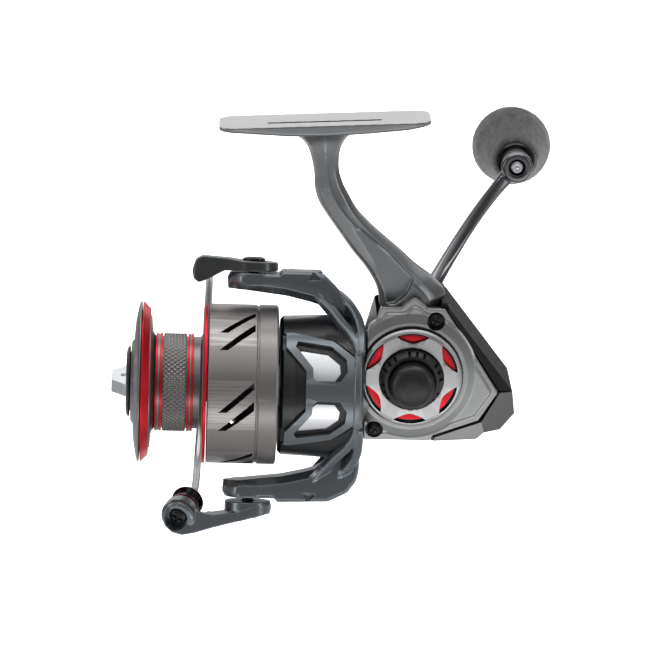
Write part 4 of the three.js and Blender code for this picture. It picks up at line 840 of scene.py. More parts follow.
world = bpy.data.worlds.new("studio")
scene.world = world
world.use_nodes = True
wt = world.node_tree
bg = wt.nodes["Background"]
wc = wt.nodes.new("ShaderNodeTexCoord")
ws = wt.nodes.new("ShaderNodeSeparateXYZ")
wr = wt.nodes.new("ShaderNodeValToRGB")
wm = wt.nodes.new("ShaderNodeMapRange")
wm.inputs["From Min"].default_value = -1.0
wm.inputs["From Max"].default_value = 1.0
wt.links.new(wc.outputs["Generated"], ws.inputs["Vector"])
wt.links.new(ws.outputs["Z"], wm.inputs["Value"])
wt.links.new(wm.outputs["Result"], wr.inputs["Fac"])
for pos, v in (
    (0.12, 0.60),
    (0.20, 0.95),
    (0.30, 0.72),
    (0.42, 0.30),
    (0.60, 0.18),
    (0.76, 0.30),
    (0.90, 0.95),
):
    el = wr.color_ramp.elements.new(pos)
    el.color = (v * 0.985, v * 0.99, v, 1)
wr.color_ramp.elements[0].color = (0.40, 0.40, 0.41, 1)
wr.color_ramp.elements[-1].color = (1.0, 1.0, 1.0, 1)
wt.links.new(wr.outputs["Color"], bg.inputs["Color"])
bg.inputs["Strength"].default_value = 1.0

floor = raw(
    [(-6000, -6000, -300), (6000, -6000, -300), (6000, 6000, -300), (-6000, 6000, -300)],
    [[0, 1, 2, 3]],
)
floor.data.transform(MM)
floor.name = "floor"
fm = Mat("pale_floor", 0.0, 0.2)
fm.set(
    Base_Color=fm.mix(fm.span(fm.noise(3, 2), 0, 1), (0.9, 0.9, 0.9), (0.92, 0.92, 0.92)),
    Roughness=0.9,
    Emission_Color=(1.0, 1.0, 1.0),
    Emission_Strength=1.0,
)
floor.data.materials.append(fm.m)
floor.visible_glossy = False
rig.stage(floor)

# --------------------------------------------------------------------------
# Main casting: foot, stem and gear case
# --------------------------------------------------------------------------
RV = REEL  # reel to row, millimetres


def rr(x, z):
    p = RV @ Vector((x, 0, z))
    return (p.x, p.z)


CASE = [(-14.6, -12.6), (5.6, -12.6), (6.1, -11.1), (19.3, -6.0), (24.4, 2.7), (14.0, 18.8), (8.1, 27.5), (2.0, 30.0), (-10.7, 28.4), (-11.4, 26.5), (-12.7, 21.9), (-14.2, 16), (-14.6, 10.8)]
CASE_REAR = [(3.0, -11.3), (17.6, -10.8), (20.1, -8.3), (24.8, -7.4), (27.8, -3.6), (27.0, 2.2), (20.0, 2.4), (8.0, 0)]
HOLLOW = [(-13.0, -11.2), (4.4, -11.2), (4.9, -9.9), (18.3, -4.6), (22.6, 2.6), (12.6, 18.1), (7.2, 26.0), (-9.4, 26.2), (-10.1, 24.5), (-11.3, 20), (-12.8, 14), (-13.0, 10)]
HOLLOW_REAR = [(4.8, -9.9), (17.2, -9.6), (19.6, -7.1), (24.2, -6.3), (26.3, -3.2), (25.8, 1.2), (14, 1.2), (8, -5)]
POCKET = [(-20.6, 50.5), (-17.0, 49.6), (-8.0, 41.9), (-1.4, 35.4), (-3.2, 31.2), (-6.4, 28.0), (-14.0, 26.0), (-26.0, 44.0)]


def make_casting():
    # Foot: thin at the tips, thicker at the stem, with a rounded plan.
    h, w = 30.4, 7.3
    xs = np.r_[np.linspace(-h, -h + 5, 14), np.linspace(-h + 6, h - 6, 60), np.linspace(h - 5, h, 14)]
    zp = [(-30.4, 1.3), (-20, 2.3), (-10.4, 3.2), (0, 3.5), (11.9, 3.1), (23.3, 2.4), (30.4, 1.3)]
    tx = [p[0] for p in zp]
    tz = [p[1] for p in zp]
    rings = []
    for x in xs:
        e = h - abs(x)
        half = w if e >= 5 else w - 2.7 * (1 - math.sqrt(max(0.0, 1 - (1 - e / 5) ** 2)))
        t = float(np.interp(x, tx, tz))
        prof = fillet([(-half, 0), (half, 0), (half - 0.25, -t), (-half + 0.25, -t)], [0.15, 0.15, 0.9, 0.9], 4)
        rings.append([(x, y, z) for y, z in prof])
    foot = loft(rings)
    # Stem: sections with a raised spine on both flanks.
    R = rr
    st = [
        ((-12.6, -2.5), (12.8, -2.5), 6.9, 0.5, 0.1),
        ((-9.4, -3.9), (9.2, -3.7), 6.2, 0.5, 0.3),
        ((-6.9, -5.6), (6.6, -5.2), 5.3, 0.5, 0.6),
        ((-5.2, -7.8), (4.9, -7.4), 4.8, 0.5, 0.9),
        ((-4.3, -10.6), (4.0, -10.2), 4.5, 0.5, 1.0),
        (R(-31.2, 65.0), R(-24.0, 66.0), 4.4, 0.52, 1.0),
        (R(-30.9, 61.0), R(-22.8, 62.2), 4.5, 0.54, 1.0),
        (R(-29.8, 57.0), R(-20.9, 58.6), 4.6, 0.56, 1.0),
        (R(-27.6, 53.3), R(-18.9, 55.2), 4.8, 0.6, 1.0),
        (R(-23.8, 48.0), R(-15.4, 51.3), 5.1, 0.64, 1.0),
        (R(-19.5, 42.1), R(-10.6, 47.0), 5.5, 0.66, 1.0),
        (R(-15.5, 37.3), R(-5.6, 42.8), 6.1, 0.68, 1.0),
        (R(-12.7, 33.0), R(-0.6, 38.3), 7.4, 0.70, 1.0),
        (R(-11.4, 29.6), R(4.4, 34.6), 8.3, 0.72, 0.8),
        (R(-11.0, 26.5), R(8.3, 30.0), 8.7, 0.74, 0.4),
        (R(-10.6, 24.4), R(7.8, 26.0), 8.7, 0.75, 0.2),
    ]
    arr = spline([[*a, *b, c, d, e] for a, b, c, d, e in st], 90)
    rings = []
    n = 26
    for ax, az, bx, bz, half, f, k in arr:
        a, b = np.array([ax, az]), np.array([bx, bz])
        side = []
        for i in range(n + 1):
            t = 0.5 - 0.5 * math.cos(math.pi * i / n)
            oval = math.sin(math.pi * t) ** 0.62
            if t < f:
                ridge = 0.62 + 0.38 * (t / f)
            else:
                ridge = 0.55 + 0.45 * ((1 - t) / (1 - f)) ** 0.9
            edge = min(1.0, 7.5 * t, 7.5 * (1 - t)) ** 0.55
            prof = (1 - k) * oval + k * edge * ridge
            side.append((a + (b - a) * t, half * prof))
        ring = [(p[0], -y, p[1]) for p, y in side]
        ring += [(p[0], y, p[1]) for p, y in side[-2:0:-1]]
        rings.append(ring)
    stem = loft(rings)

    near, far = -8.7, 11.5
    hollow = lambda: prism(HOLLOW, "y", -30, 9.3)
    hollow_rear = lambda: prism(HOLLOW_REAR, "y", -30, 7.2)
    front_bores = lambda: [
        rod("x", 9.5, -27.5, -18.9, seg=64),
        rod("x", 7.7, -19.5, -12.0, seg=64),
    ]
    side_bores = lambda: [
        rod("y", 5.9, 8.4, 11.7, (HX, HZ)),
        rod("y", 3.9, 11.0, 15.0, (HX, HZ)),
    ]
    body = bevelled_far(prism(fillet(CASE, 0.5, 2), "y", near, far), far, 1.8)
    boolean(body, prism([(7.4, 34), (far + 0.2, 23.5), (20, 23.5), (20, 34)], "x", -20, 20))
    boolean(body, [hollow(), hollow_rear(), *front_bores(), *side_bores()])
    rear = prism(fillet(CASE_REAR, 0.6, 2), "y", near, 8.7)
    boolean(rear, [hollow(), hollow_rear()])
    boss = lathe([(9.0, 0), (9.0, 10.4), (12.4, 10.4), (13.4, 9.6), (13.9, 8.2), (13.9, 0)], 96, "y", (HX, HZ), 0.3)
    boolean(boss, side_bores())
    collar = rod("x", 12.4, -26.9, -13.2, seg=96)
    boolean(collar, front_bores())
    shoulder = lathe([(-14.9, 0), (-14.9, 16.4), (-14.0, 17.2), (-13.4, 17.2), (-13.4, 0)], 96)
    boolean(shoulder, block(-16, -13, -8.7, 11.5, -13, 17.5), "INTERSECT")
    boolean(shoulder, front_bores())
    for o in (foot, stem):
        o.data.transform(RV.inverted())
    boolean(stem, hollow())
    pockets = []
    for a, b in ((-20, -4.7), (4.7, 20)):
        pockets.append(prism(fillet(POCKET, 0.8, 3), "y", a, b))
    boolean(stem, pockets)
    posts = []
    for x, z, r in ((5.3, 24.4, 2.5), (-11.4, -9.2, 2.4)):
        post = rod("y", r, near, 9.8, (x, z))
        boolean(post, rod("y", 1.5, near - 1, -1.5, (x, z)))
        posts.append(post)
    slot = block(-16.5, 16.2, -2.9, -1.5, -0.7, 1)
    slot.data.transform(RV.inverted())
    boolean(foot, slot)
    shell = joined([foot, stem, body, rear, boss, collar, shoulder, *posts])
    remeshed(shell, 0.25, 6)
    return shell


def bevelled_far(o, far, r):
    """Rounds only the edges on the far face of a prism."""
    bm = bmesh.new()
    bm.from_mesh(o.data)
    edges = [e for e in bm.edges if all(abs(v.co.y - far) < 1e-4 for v in e.verts)]
    bmesh.ops.bevel(bm, geom=edges, offset=r, segments=4, profile=0.5, affect="EDGES", clamp_overlap=True)
    bm.to_mesh(o.data)
    bm.free()
    return o


casting = make_casting()
# The top faces of the foot take a lighter copy of the paint: painted light on the faces turned up to the overhead
# light.
piece(casting, "gear_case_casting", [GUNMETAL, PAINTED_LIT_TOP], "main_body", sharp=0, weighted=False)
for f in casting.data.polygons:
    c = f.center
    if c.z > -0.00022 and f.normal.z > 0.8:
        f.material_index = 1
# The walls of the slot in the foot are painted black: painted shade in the slot.
painted(casting, BLACK, lambda c, n: -1.2 < c.z < -0.18 and abs(c.x) < 17.2 and -3.3 < c.y < -1.1, ROW)

# Gear case below the stem: the shell of the CAD body, cut off where the stem starts.
shell_src = nodes["main_body"]
case = bpy.data.objects.new("gear_case_shell", shell_src.data.copy())
scene.collection.objects.link(case)
case.data.transform(shell_src.matrix_world)
bm = bmesh.new()
bm.from_mesh(case.data)
bmesh.ops.bisect_plane(
    bm,
    geom=bm.verts[:] + bm.edges[:] + bm.faces[:],
    plane_co=(MM @ REEL) @ Vector((0, 0, 25.0)),
    plane_no=(REEL.to_3x3() @ Vector((0, 0, 1))).normalized(),
    clear_outer=True,
)
bmesh.ops.holes_fill(bm, edges=[e for e in bm.edges if e.is_boundary], sides=0)
bm.to_mesh(case.data)
bm.free()
piece(case, "gear_case_shell", GUNMETAL, "main_body", matrix=MM.inverted(), sharp=32, weighted=False)

# --------------------------------------------------------------------------
# Side cover, screws, side plate and dust cap
# --------------------------------------------------------------------------
COVER_OUTLINE = [(-14.5, -12.5), (5.3, -12.4), (5.8, -10.9), (19.0, -5.9), (24.3, 2.9), (13.95, 18.85), (7.9, 27.85), (2.8, 28.0), (0.6, 30.2), (-1.2, 31.3), (-3.4, 29.7), (-4.9, 28.1), (-10.8, 28.1), (-11.4, 26.3), (-12.6, 21.7), (-14.0, 16), (-14.5, 10.8)]
cover = prism(fillet(COVER_OUTLINE, [0.3, 0.3, 0.3, 0.6, 0.8, 0.5, 0.6, 0.8, 1.0, 1.6, 1.0, 0.8, 0.4, 0.4, 0.4, 0.4, 0.4], 4), "y", -10.8, -9.0)
# Bulged shield round the handle axis, which fades into the flat plate.
shield = lathe([(-9.0, 0), (-9.0, 19.6), (-10.6, 19.6), (-11.25, 18.6), (-12.0, 16.3), (-12.0, 0)], 160, "y", (HX, HZ), [0.2, 0.2, 0.2, 2.0, 0.5, 0.2])
boolean(shield, block(-14.4, 40, -20, 0, -12.5, 30), "INTERSECT")
brow = prism(fillet([(-9.4, 26.2), (-3.6, 26.3), (-1.2, 28.7), (0.6, 27.9), (2.6, 25.9), (6.9, 25.9), (12.9, 17.6), (22.3, 3.0), (17.5, -4.2), (5, -9.0), (-11, -10.5), (-12.6, 12)], 1.2, 4), "y", -11.25, -9.5)
cover = joined([cover, shield, brow])
remeshed(cover, 0.17, 9)
tools = [rod("y", 5.9, -11.6, -7, (HX, HZ), 96), rod("y", 4.2, -14, -7, (HX, HZ), 96)]
for x, z in ((5.3, 24.4), (-11.4, -9.2)):
    tools += [rod("y", 1.5, -14, -7, (x, z)), rod("y", 2.6, -14, -9.9, (x, z), 64)]
boolean(cover, tools)
piece(cover, "side_cover_plate", COVER, "side_cover", sharp=50, weighted=False)
# The cover face under and round the side plate is painted black: painted shade in the gap between plate and cover.
painted(cover, BLACK, lambda c, n: c.y < -11.7 and math.hypot(c.x - HX, c.z - HZ) < 15.2)
# The screw counterbores are painted black: painted shade in the recesses round the screw heads.
painted(cover, BLACK, lambda c, n: any((c.x - a) ** 2 + (c.z - b) ** 2 < 2.63**2 for a, b in ((5.3, 24.4), (-11.4, -9.2))))


def phillips(o, axis_matrix, r, depth=0.7, w=0.42):
    """Cross recess cut into a screw head whose face lies at height 0 along -Y of axis_matrix."""
    tools = []
    for k in range(2):
        t = prism([(-r, -w), (r, -w), (r * 0.9, w), (-r * 0.9, w)], "y", -1.5, depth)
        t.data.transform(axis_matrix @ Matrix.Rotation(math.radians(90 * k + 25), 4, "Y"))
        tools.append(t)
    return boolean(o, tools)


for name, x, z in (("cover_screw_top", 5.3, 24.4), ("cover_screw_front", -11.4, -9.2)):
    head = lathe([(-11.15, 0), (-11.1, 1.2), (-10.75, 1.85), (-10.4, 2.05), (-10.3, 1.3), (-3.0, 1.2), (-3.0, 0)], 64, "y", (x, z), 0.12)
    phillips(head, Matrix.Translation((x, -11.1, z)), 1.25, 0.8, 0.27)
    piece(head, name + "_head", SCREW, name)

plate = lathe([(-12.3, 13.7), (-12.3, 14.8), (-13.5, 14.8), (-14.1, 14.2), (-14.35, 13.2), (-14.45, 9.3), (-13.5, 9.3), (-13.5, 13.7)], 192, "y", (HX, HZ), 0.22)
tools = []
for k in range(6):
    a = math.radians(90 + 60 * k)
    lens = []
    for i in range(13):
        t = -1 + i / 6
        lens.append((13.75 - 0.2 * t * t, a + t * math.radians(21.0)))
    for i in range(11, 0, -1):
        t = -1 + i / 6
        lens.append((10.7 + 2.3 * abs(t) ** 1.8, a + t * math.radians(20.0)))
    tools.append(prism([(HX + r * math.cos(b), HZ + r * math.sin(b)) for r, b in lens], "y", -16, -12.9))
boolean(plate, tools)
bevelled(plate, 0.22, 2, 40)
piece(plate, "side_plate_ring", PLATE, "side_plate", sharp=45)
# The plate's outer rim is painted black: painted shade in the gap between plate and cover.
painted(plate, BLACK, lambda c, n: math.hypot(c.x - HX, c.z - HZ) > 14.5 and abs(n.y) < 0.6)
# The walls of the plate's windows are painted black: painted shade in the windows.
painted(plate, BLACK, lambda c, n: n.y > -0.35 and 10.2 < math.hypot(c.x - HX, c.z - HZ) < 13.95 and -14.4 < c.y < -12.6)
disc = lathe([(-12.3, 5.4), (-12.3, 13.65), (-13.1, 13.65), (-13.2, 12.9), (-13.25, 12.2), (-13.25, 10.3), (-13.25, 6.4), (-13.1, 5.4)], 160, "y", (HX, HZ), [0.2, 0.2, 0.2, 0, 0.1, 0, 0.1, 0.1])
piece(disc, "side_trim_disc_red", RED, "side_trim_disc")
# The disc stays red only from 10.3 to 12.9 mm and is painted black elsewhere; the black at its outer edge is painted
# shade under the outer window walls.
painted(disc, BLACK, lambda c, n: not 10.3 < math.hypot(c.x - HX, c.z - HZ) < 12.9)

ring = lathe([(-13.4, 6.8), (-13.4, 8.9), (-16.6, 8.9), (-17.4, 8.5), (-18.1, 7.9), (-18.1, 6.8)], 160, "y", (HX, HZ), 0.2)
tools = []
for k in range(24):
    a = math.radians(15 * k + 7)
    ux, uz = math.cos(a), math.sin(a)

    def q(r, t):
        return (HX + r * ux - t * uz, HZ + r * uz + t * ux)

    if k % 4 < 3:
        tools.append(prism([q(7.9, -0.42), q(10, -0.42), q(10, 0.42), q(7.9, 0.42)], "y", -20, -15.4))
boolean(ring, tools)
bevelled(ring, 0.12, 1, 40)
piece(ring, "dust_cap_ring_ribbed", DARK, "dust_cap_ring", sharp=35)
dome = lathe([(-12.4, 0), (-12.4, 5.0), (-13.4, 5.0), (-13.4, 6.4), (-21.6, 6.4), (-22.7, 5.9), (-23.5, 4.6), (-24.0, 2.4), (-24.1, 0)], 160, "y", (HX, HZ), [0, 0.1, 0.1, 0.1, 1.2, 3, 6, 8, 0], n=6)
piece(dome, "dust_cap_dome_smooth", BLACK, "dust_cap_dome")

# Rear strip and guard
strip = prism([(8.35, 27.7), (9.1, 28.2), (28.5, 3.5), (24.75, 3.35), (14.3, 19.0)], "y", -10.8, 10.6)
tongue = prism([(6.6, 27.4), (6.9, 29.2), (8.3, 29.4), (9.1, 27.9), (25.2, 3.6), (23.6, 3.4), (13.2, 18.6)], "y", -8.95, 10.2)
boolean(strip, tongue, "UNION")
bevelled(strip, 0.3, 3, 25)
piece(strip, "rear_strip_black", STRIP, "rear_strip")

outer = [(24.9, 3.0), (28.6, 3.2), (29.6, -4.0), (25.6, -8.9), (20.8, -9.8), (18.7, -12.0), (6.0, -12.6), (6.5, -11.3), (19.8, -6.3)]
room = [(4.0, -11.6), (17.8, -11.1), (20.3, -8.6), (25.0, -7.7), (28.1, -3.7), (27.3, 2.5), (27.0, 4.5), (20.0, 4.5)]
guard = prism(outer, "y", -11.0, 11.6)
# Facets: the outer corners lean away from both side faces.
for v in guard.data.vertices:
    x, z = v.co.x, v.co.z
    lean = {(28.6, 3.2): 0.9, (29.6, -4.0): 2.2, (25.6, -8.9): 1.6, (20.8, -9.8): 0.8, (18.7, -12.0): 1.2, (6.0, -12.6): 0.4}
    for (a, b), d in lean.items():
        if abs(x - a) < 0.01 and abs(z - b) < 0.01:
            v.co.y += d if v.co.y < 0 else -d
bm = bmesh.new()
bm.from_mesh(guard.data)
bmesh.ops.triangulate(bm, faces=[f for f in bm.faces if len(f.verts) > 4])
bm.to_mesh(guard.data)
bm.free()
bevelled(guard, 0.18, 2, 12)
boolean(guard, prism(room, "y", -8.8, 8.8))
boolean(guard, prism([(3.9, -11.35), (3.9, -12.3), (7.2, -12.45), (7.6, -11.2)], "y", -8.9, 11.0), "UNION")
bm = bmesh.new()
bm.from_mesh(guard.data)
bmesh.ops.bisect_plane(bm, geom=bm.verts[:] + bm.edges[:] + bm.faces[:], plane_co=(19.9, 0, -6.4), plane_no=(3.5, 0, 1.0))
bm.to_mesh(guard.data)
bm.free()
piece(guard, "rear_guard_faceted", GUARD, "rear_guard", sharp=40)
# A black block fills the seam between guard and cover: painted shade in the seam.
fill = block(5.45, 6.5, -10.45, -8.8, -12.4, -11.3)
piece(fill, "rear_guard_seam_lip", BLACK, "rear_guard")
# The flange under the cover is finished like the cover.
painted(guard, COVER, lambda c, n: (c.x - 19.9) * 3.5 + (c.z + 6.4) < 0)

# --------------------------------------------------------------------------
# Handle
# --------------------------------------------------------------------------
CA = math.radians(53.5)
CX, CZ = math.cos(CA), math.sin(CA)


def crank_at(r, y, side=0.0):
    return np.array([HX + r * CX - side * CZ, y, HZ + r * CZ + side * CX])


EYE = (float(crank_at(56.3, 0)[0]), float(crank_at(56.3, 0)[2]))
path = [(0.0, 22.9, 0, 4.7, 4.6), (0.4, 25.0, 0, 4.7, 4.5), (1.6, 27.6, 0.0, 4.4, 4.0), (4.2, 31.2, -0.2, 3.8, 3.2), (8.0, 36.2, -0.4, 3.1, 2.5), (12.5, 41.4, -0.5, 2.5, 2.1), (18.0, 46.2, -0.5, 2.2, 1.9), (25.0, 50.6, -0.3, 2.1, 1.8), (33.0, 54.2, 0.0, 2.0, 1.8), (41.0, 56.3, 0.2, 2.0, 1.8), (48.0, 57.2, 0.2, 2.1, 1.9), (53.8, 57.4, 0.1, 2.6, 2.2)]
arr = spline([[*crank_at(r, y, s), a, b] for r, y, s, a, b in path], 120)
tang = np.gradient(arr[:, :3], axis=0)
tang /= np.linalg.norm(tang, axis=1)[:, None]
side_dir = np.array([-CZ, 0, CX])
rings = []
for i in range(len(arr)):
    d = tang[i]
    u = side_dir - d * (side_dir @ d)
    u /= np.linalg.norm(u)
    v = np.cross(d, u)
    ring_ = []
    for j in range(40):
        t = 2 * math.pi * j / 40
        f = lambda q: math.copysign(abs(q) ** 0.8, q)
        # a shallow crease runs along the near side of the arm
        k = 1.0 - 0.10 * math.exp(-(((j - 30) % 40 - 0) ** 2) / 6.0)
        ring_.append(tuple(arr[i, :3] + u * arr[i, 3] * f(math.cos(t)) * k + v * arr[i, 4] * f(math.sin(t)) * k))
    rings.append(ring_)
arm = loft(rings)
boss = lathe([(53.6, 0), (53.6, 4.1), (54.1, 4.6), (54.6, 4.8), (59.8, 4.8), (60.8, 4.2), (60.8, 0)], 96, "y", EYE, 0.3)
arm = joined([arm, boss])
remeshed(arm, 0.25, 9)
boolean(arm, [rod("y", 3.0, 50, 54.5, EYE, 64), rod("y", 2.6, 53, 63, EYE, 64)])
piece(arm, "handle_arm_curved", BLACKCHROME, "handle_arm", sharp=50, weighted=False)
pin = lathe([(54.2, 0), (54.3, 0.5), (54.55, 0.6), (54.35, 0.75), (54.35, 1.5), (54.7, 2.0), (90.4, 2.0), (90.4, 2.9), (91.2, 2.9), (91.2, 0)], 96, "y", EYE, 0.1)
piece(pin, "knob_pin_turned", BRIGHT, "knob_pin")
washer = lathe([(60.95, 2.3), (60.95, 5.4), (61.5, 5.8), (62.5, 5.8), (63.1, 5.4), (63.1, 2.3)], 96, "y", EYE, 0.2)
collar = lathe([(14.3, 3.5), (14.3, 7.2), (15.2, 7.6), (17.6, 7.0), (20.4, 5.6), (21.4, 5.4), (21.4, 3.5)], 128, "y", (HX, HZ), 0.6)
tools = []
for k in range(18):
    a = math.radians(20 * k)
    tools.append(rod("y", 0.55, 13.5, 17.2, (HX + 7.65 * math.cos(a), HZ + 7.65 * math.sin(a)), 16))
boolean(collar, tools)
piece(collar, "handle_collar_fluted", BLACKCHROME, "handle_collar", sharp=35)

grip = lathe([(63.4, 2.5), (63.4, 6.2), (64.2, 7.0), (70.0, 9.1), (75.6, 11.3), (78.6, 12.0), (80.6, 12.2), (83.6, 11.6), (87.4, 10.2), (91.4, 8.2), (94.2, 6.2), (94.2, 5.2), (90.0, 5.2), (90.0, 2.5)], 220, "y", EYE, [0, 0.8, 1.5, 4, 6, 5, 5, 5, 5, 5, 1.2, 0.3, 0, 0], n=5)
m = grip.modifiers.new("sub", "SUBSURF")
m.subdivision_type = "SIMPLE"
m.levels = m.render_levels = 1
applied(grip)
for v in grip.data.vertices:
    p = v.co
    rad = Vector((p.x - EYE[0], 0, p.z - EYE[1]))
    if rad.length > 5.5:
        n_ = rad.normalized()
        bumpy = noise.noise(p * 0.9) * 0.10 + noise.noise(p * 3.1) * 0.05
        # faint moulding line round the widest part
        seam = 0.10 * math.exp(-(((p.y - 79.6 - 0.6 * noise.noise(n_ * 3)) / 0.35) ** 2))
        v.co = p + n_ * (bumpy - 0.05 + seam)
piece(grip, "knob_grip_foam", FOAM, "knob_grip", sharp=0, weighted=False)
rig.padded(grip, fill=1.0)
cap = lathe([(91.6, 0), (91.6, 4.9), (94.3, 4.9), (95.0, 4.0), (95.3, 0)], 96, "y", EYE, 0.3)
piece(cap, "knob_end_cap_disc", DARK, "knob_end_cap")
piece(washer, "knob_washer", ROLLER, "handle_arm", body="crank")

# --------------------------------------------------------------------------
# Rotor
# --------------------------------------------------------------------------
DB, DF, DR = -15.3, -39.4, 20.9
drum = lathe([(-38.1, 3.9), (-38.1, 10.4), (DF, 11.2), (DF, 19.4), (DF + 0.9, 20.4), (-26.5, DR), (-23.0, DR), (-18.0, 21.2), (-17.4, 21.0), (-17.4, 19.3), (-18.6, 19.3), (-19.4, 18.4), (-35.2, 18.4), (-35.6, 17.8), (-35.6, 8.0), (-30.6, 7.2), (-30.6, 3.9)], 192, "x", fil=0.3)
tools = []
for turn in (0, 180):
    tools.append(wedge([(-35.0, -43 + turn), (-19.2, -32 + turn), (-19.2, 32 + turn), (-35.0, 43 + turn)], 17, 24))
    seat = [(-38.8, 51.2), (-38.8, 34.4), (-32.3, 15.0), (-32.3, -15.0), (-38.8, -34.4), (-38.8, -51.2), (-36.2, -51.7), (-23.9, -43.7), (-17.6, -28.5), (-17.2, 0), (-17.6, 28.5), (-23.9, 43.7), (-36.2, 51.7)]
    tools.append(wedge([(x, a + turn) for x, a in seat], 20.0, 24))
boolean(drum, tools)
piece(drum, "rotor_drum", DRUM, "rotor_frame", ROTOR, sharp=40)

ARM_OUT = [(-55.2, 31.6), (-54.2, 33.0), (-39.9, 33.0), (-39.2, 33.9), (-29.6, 33.9), (-26.7, 32.7), (-23.7, 29.8), (-20.7, 26.6), (-17.6, 22.6), (-15.5, 19.4)]
ARM_IN = [(-55.0, 28.1), (-50, 27.9), (-38, 26.5), (-31.3, 25.0), (-28.3, 24.1), (-26.0, 22.8), (-24.6, 21.2), (-22.0, 19.2), (-19.5, 18.6), (-17.2, 18.4)]
LOW_OUT = [(-55.2, 31.6), (-54.2, 33.0), (-39.9, 33.0), (-39.2, 34.1), (-24.2, 33.6), (-18.6, 30.9), (-16.0, 27.4), (DB, 24.2), (DB, 21.0), (DB, 19.4)]


def rotor_arm(out, inn, sign):
    n = 90
    o = along_line(fillet(out, [0, 0.4, 0.3, 0.3, 2.5, 3, 4, 6, 4, 0], 4, closed=False), n)
    i = along_line(fillet(inn, [0, 2, 6, 6, 3, 3, 3, 3, 2, 0], 4, closed=False), n)
    rings = []
    for (ox, ov), (ix, iv) in zip(o, i):
        t = (ox - PIVOT_X) / (-55.2 - PIVOT_X)
        w = 6.8 if ox > -50.8 else 6.8 - (6.8 - 3.0) * ((-50.8 - ox) / 4.4) ** 1.3
        a, b = np.array([ox, ov]), np.array([ix, iv])
        L = np.linalg.norm(b - a)
        d = (b - a) / L
        ct, ci = min(0.9, 0.2 * L), min(2.1, 0.34 * L)
        sec = []
        for s, order in ((-1, 1), (1, -1)):
            q = [
                (a, s * (w - 1.3)),
                (a + d * ct, s * w),
                (a + d * (0.46 * L), s * (w + 0.05)),
                (b - d * ci, s * (w - 0.15)),
                (b, s * (w - 2.2)),
            ][::order]
            sec += [(p[0], y, p[1]) for p, y in q]
        rings.append(sec)
    arm_ = loft(rings)
    if sign < 0:
        arm_.data.transform(FLIP)
    return arm_


def ribbon(path, tall, n=70):
    """Flat band with broken corners along a curve, its face square to the radius from the X axis."""
    C = spline(path, n)
    D = np.gradient(C[:, :3], axis=0)
    D /= np.linalg.norm(D, axis=1)[:, None]
    rings = []
    for (x, y, z, w), d in zip(C, D):
        up = np.array([0, y, z]) / math.hypot(y, z)
        up = up - d * (up @ d)
        up /= np.linalg.norm(up)
        out = np.cross(d, up)
        c = 0.55
        sec = [(-w / 2, -tall), (-w / 2, -c), (-w / 2 + c, 0), (w / 2 - c, 0), (w / 2, -c), (w / 2, -tall)]
        rings.append([tuple(np.array([x, y, z]) + out * a + up * (b + tall / 2) for a, b in [q])[0] for q in sec])
    return loft([[tuple(p) for p in r_] for r_ in rings])


parts = []
for sign, out in ((1, ARM_OUT), (-1, LOW_OUT)):
    arm_ = rotor_arm(out, ARM_IN, sign)
    tools = []
    p = block(-38.4, -27.2, -4.3, 4.3, 28.2, 40)
    hole = rod("z", 1.9, 29.8, 36, (PIVOT_X, 0))
    notch = [prism([(-31.6, 31.3), (-30.3, 33.7), (-27.8, 31.5)], "y", a, b) for a, b in ((-12, -5.2), (5.2, 12))]
    for t in (p, hole, *notch):
        if sign < 0:
            t.data.transform(FLIP)
        tools.append(t)
    boss = lathe([(28.4, 0), (28.4, 6.2), (29.4, 7.2), (33.0, 7.2), (33.0, 0)], 96, "z", (PIVOT_X, 0), 0.4)
    if sign < 0:
        boss.data.transform(FLIP)
    boolean(arm_, tools)
    parts.append(arm_)
    boolean(boss, rod("z", 1.9, 29.8, 36, (PIVOT_X, 0)) if sign > 0 else rod("z", 1.9, -36, -29.8, (PIVOT_X, 0)))
    parts.append(boss)
    # Two bands spread from the root of each arm down to the rim.
    for side in (-1, 1):
        inner = [(-29.0, 5.4, 27.4, 2.6), (-27.0, 6.0, 25.2, 2.9), (-24.6, 7.8, 22.6, 2.9), (-22.0, 10.8, 19.4, 2.8), (-19.6, 13.6, 16.8, 2.6), (-17.8, 16.2, 13.8, 2.4), (-16.8, 18.3, 10.6, 2.2)]
        outer = [(-22.6, 5.0, 26.6, 2.6), (-19.4, 6.4, 23.6, 2.8), (-17.2, 9.4, 20.3, 2.8), (-16.3, 12.8, 17.4, 2.7), (-16.1, 15.8, 14.4, 2.5), (-16.1, 18.2, 11.0, 2.3)]
        for path, tall in ((inner, 2.6), (outer, 3.2)):
            parts.append(ribbon([(x, side * n_ * sign, v * sign, w) for x, n_, v, w in path], tall))
rim = lathe([(DB, 19.5), (DB, 20.4), (DB - 0.7, 21.3), (-17.6, 21.75), (-18.2, 21.2), (-18.2, 20.2), (-18.4, 19.3)], 160, "x", fil=0.25)
parts.append(rim)
arms = joined(parts)
remeshed(arms, 0.2, 10)
piece(arms, "rotor_arms", ROTORP, "rotor_frame", ROTOR, sharp=0, weighted=False)

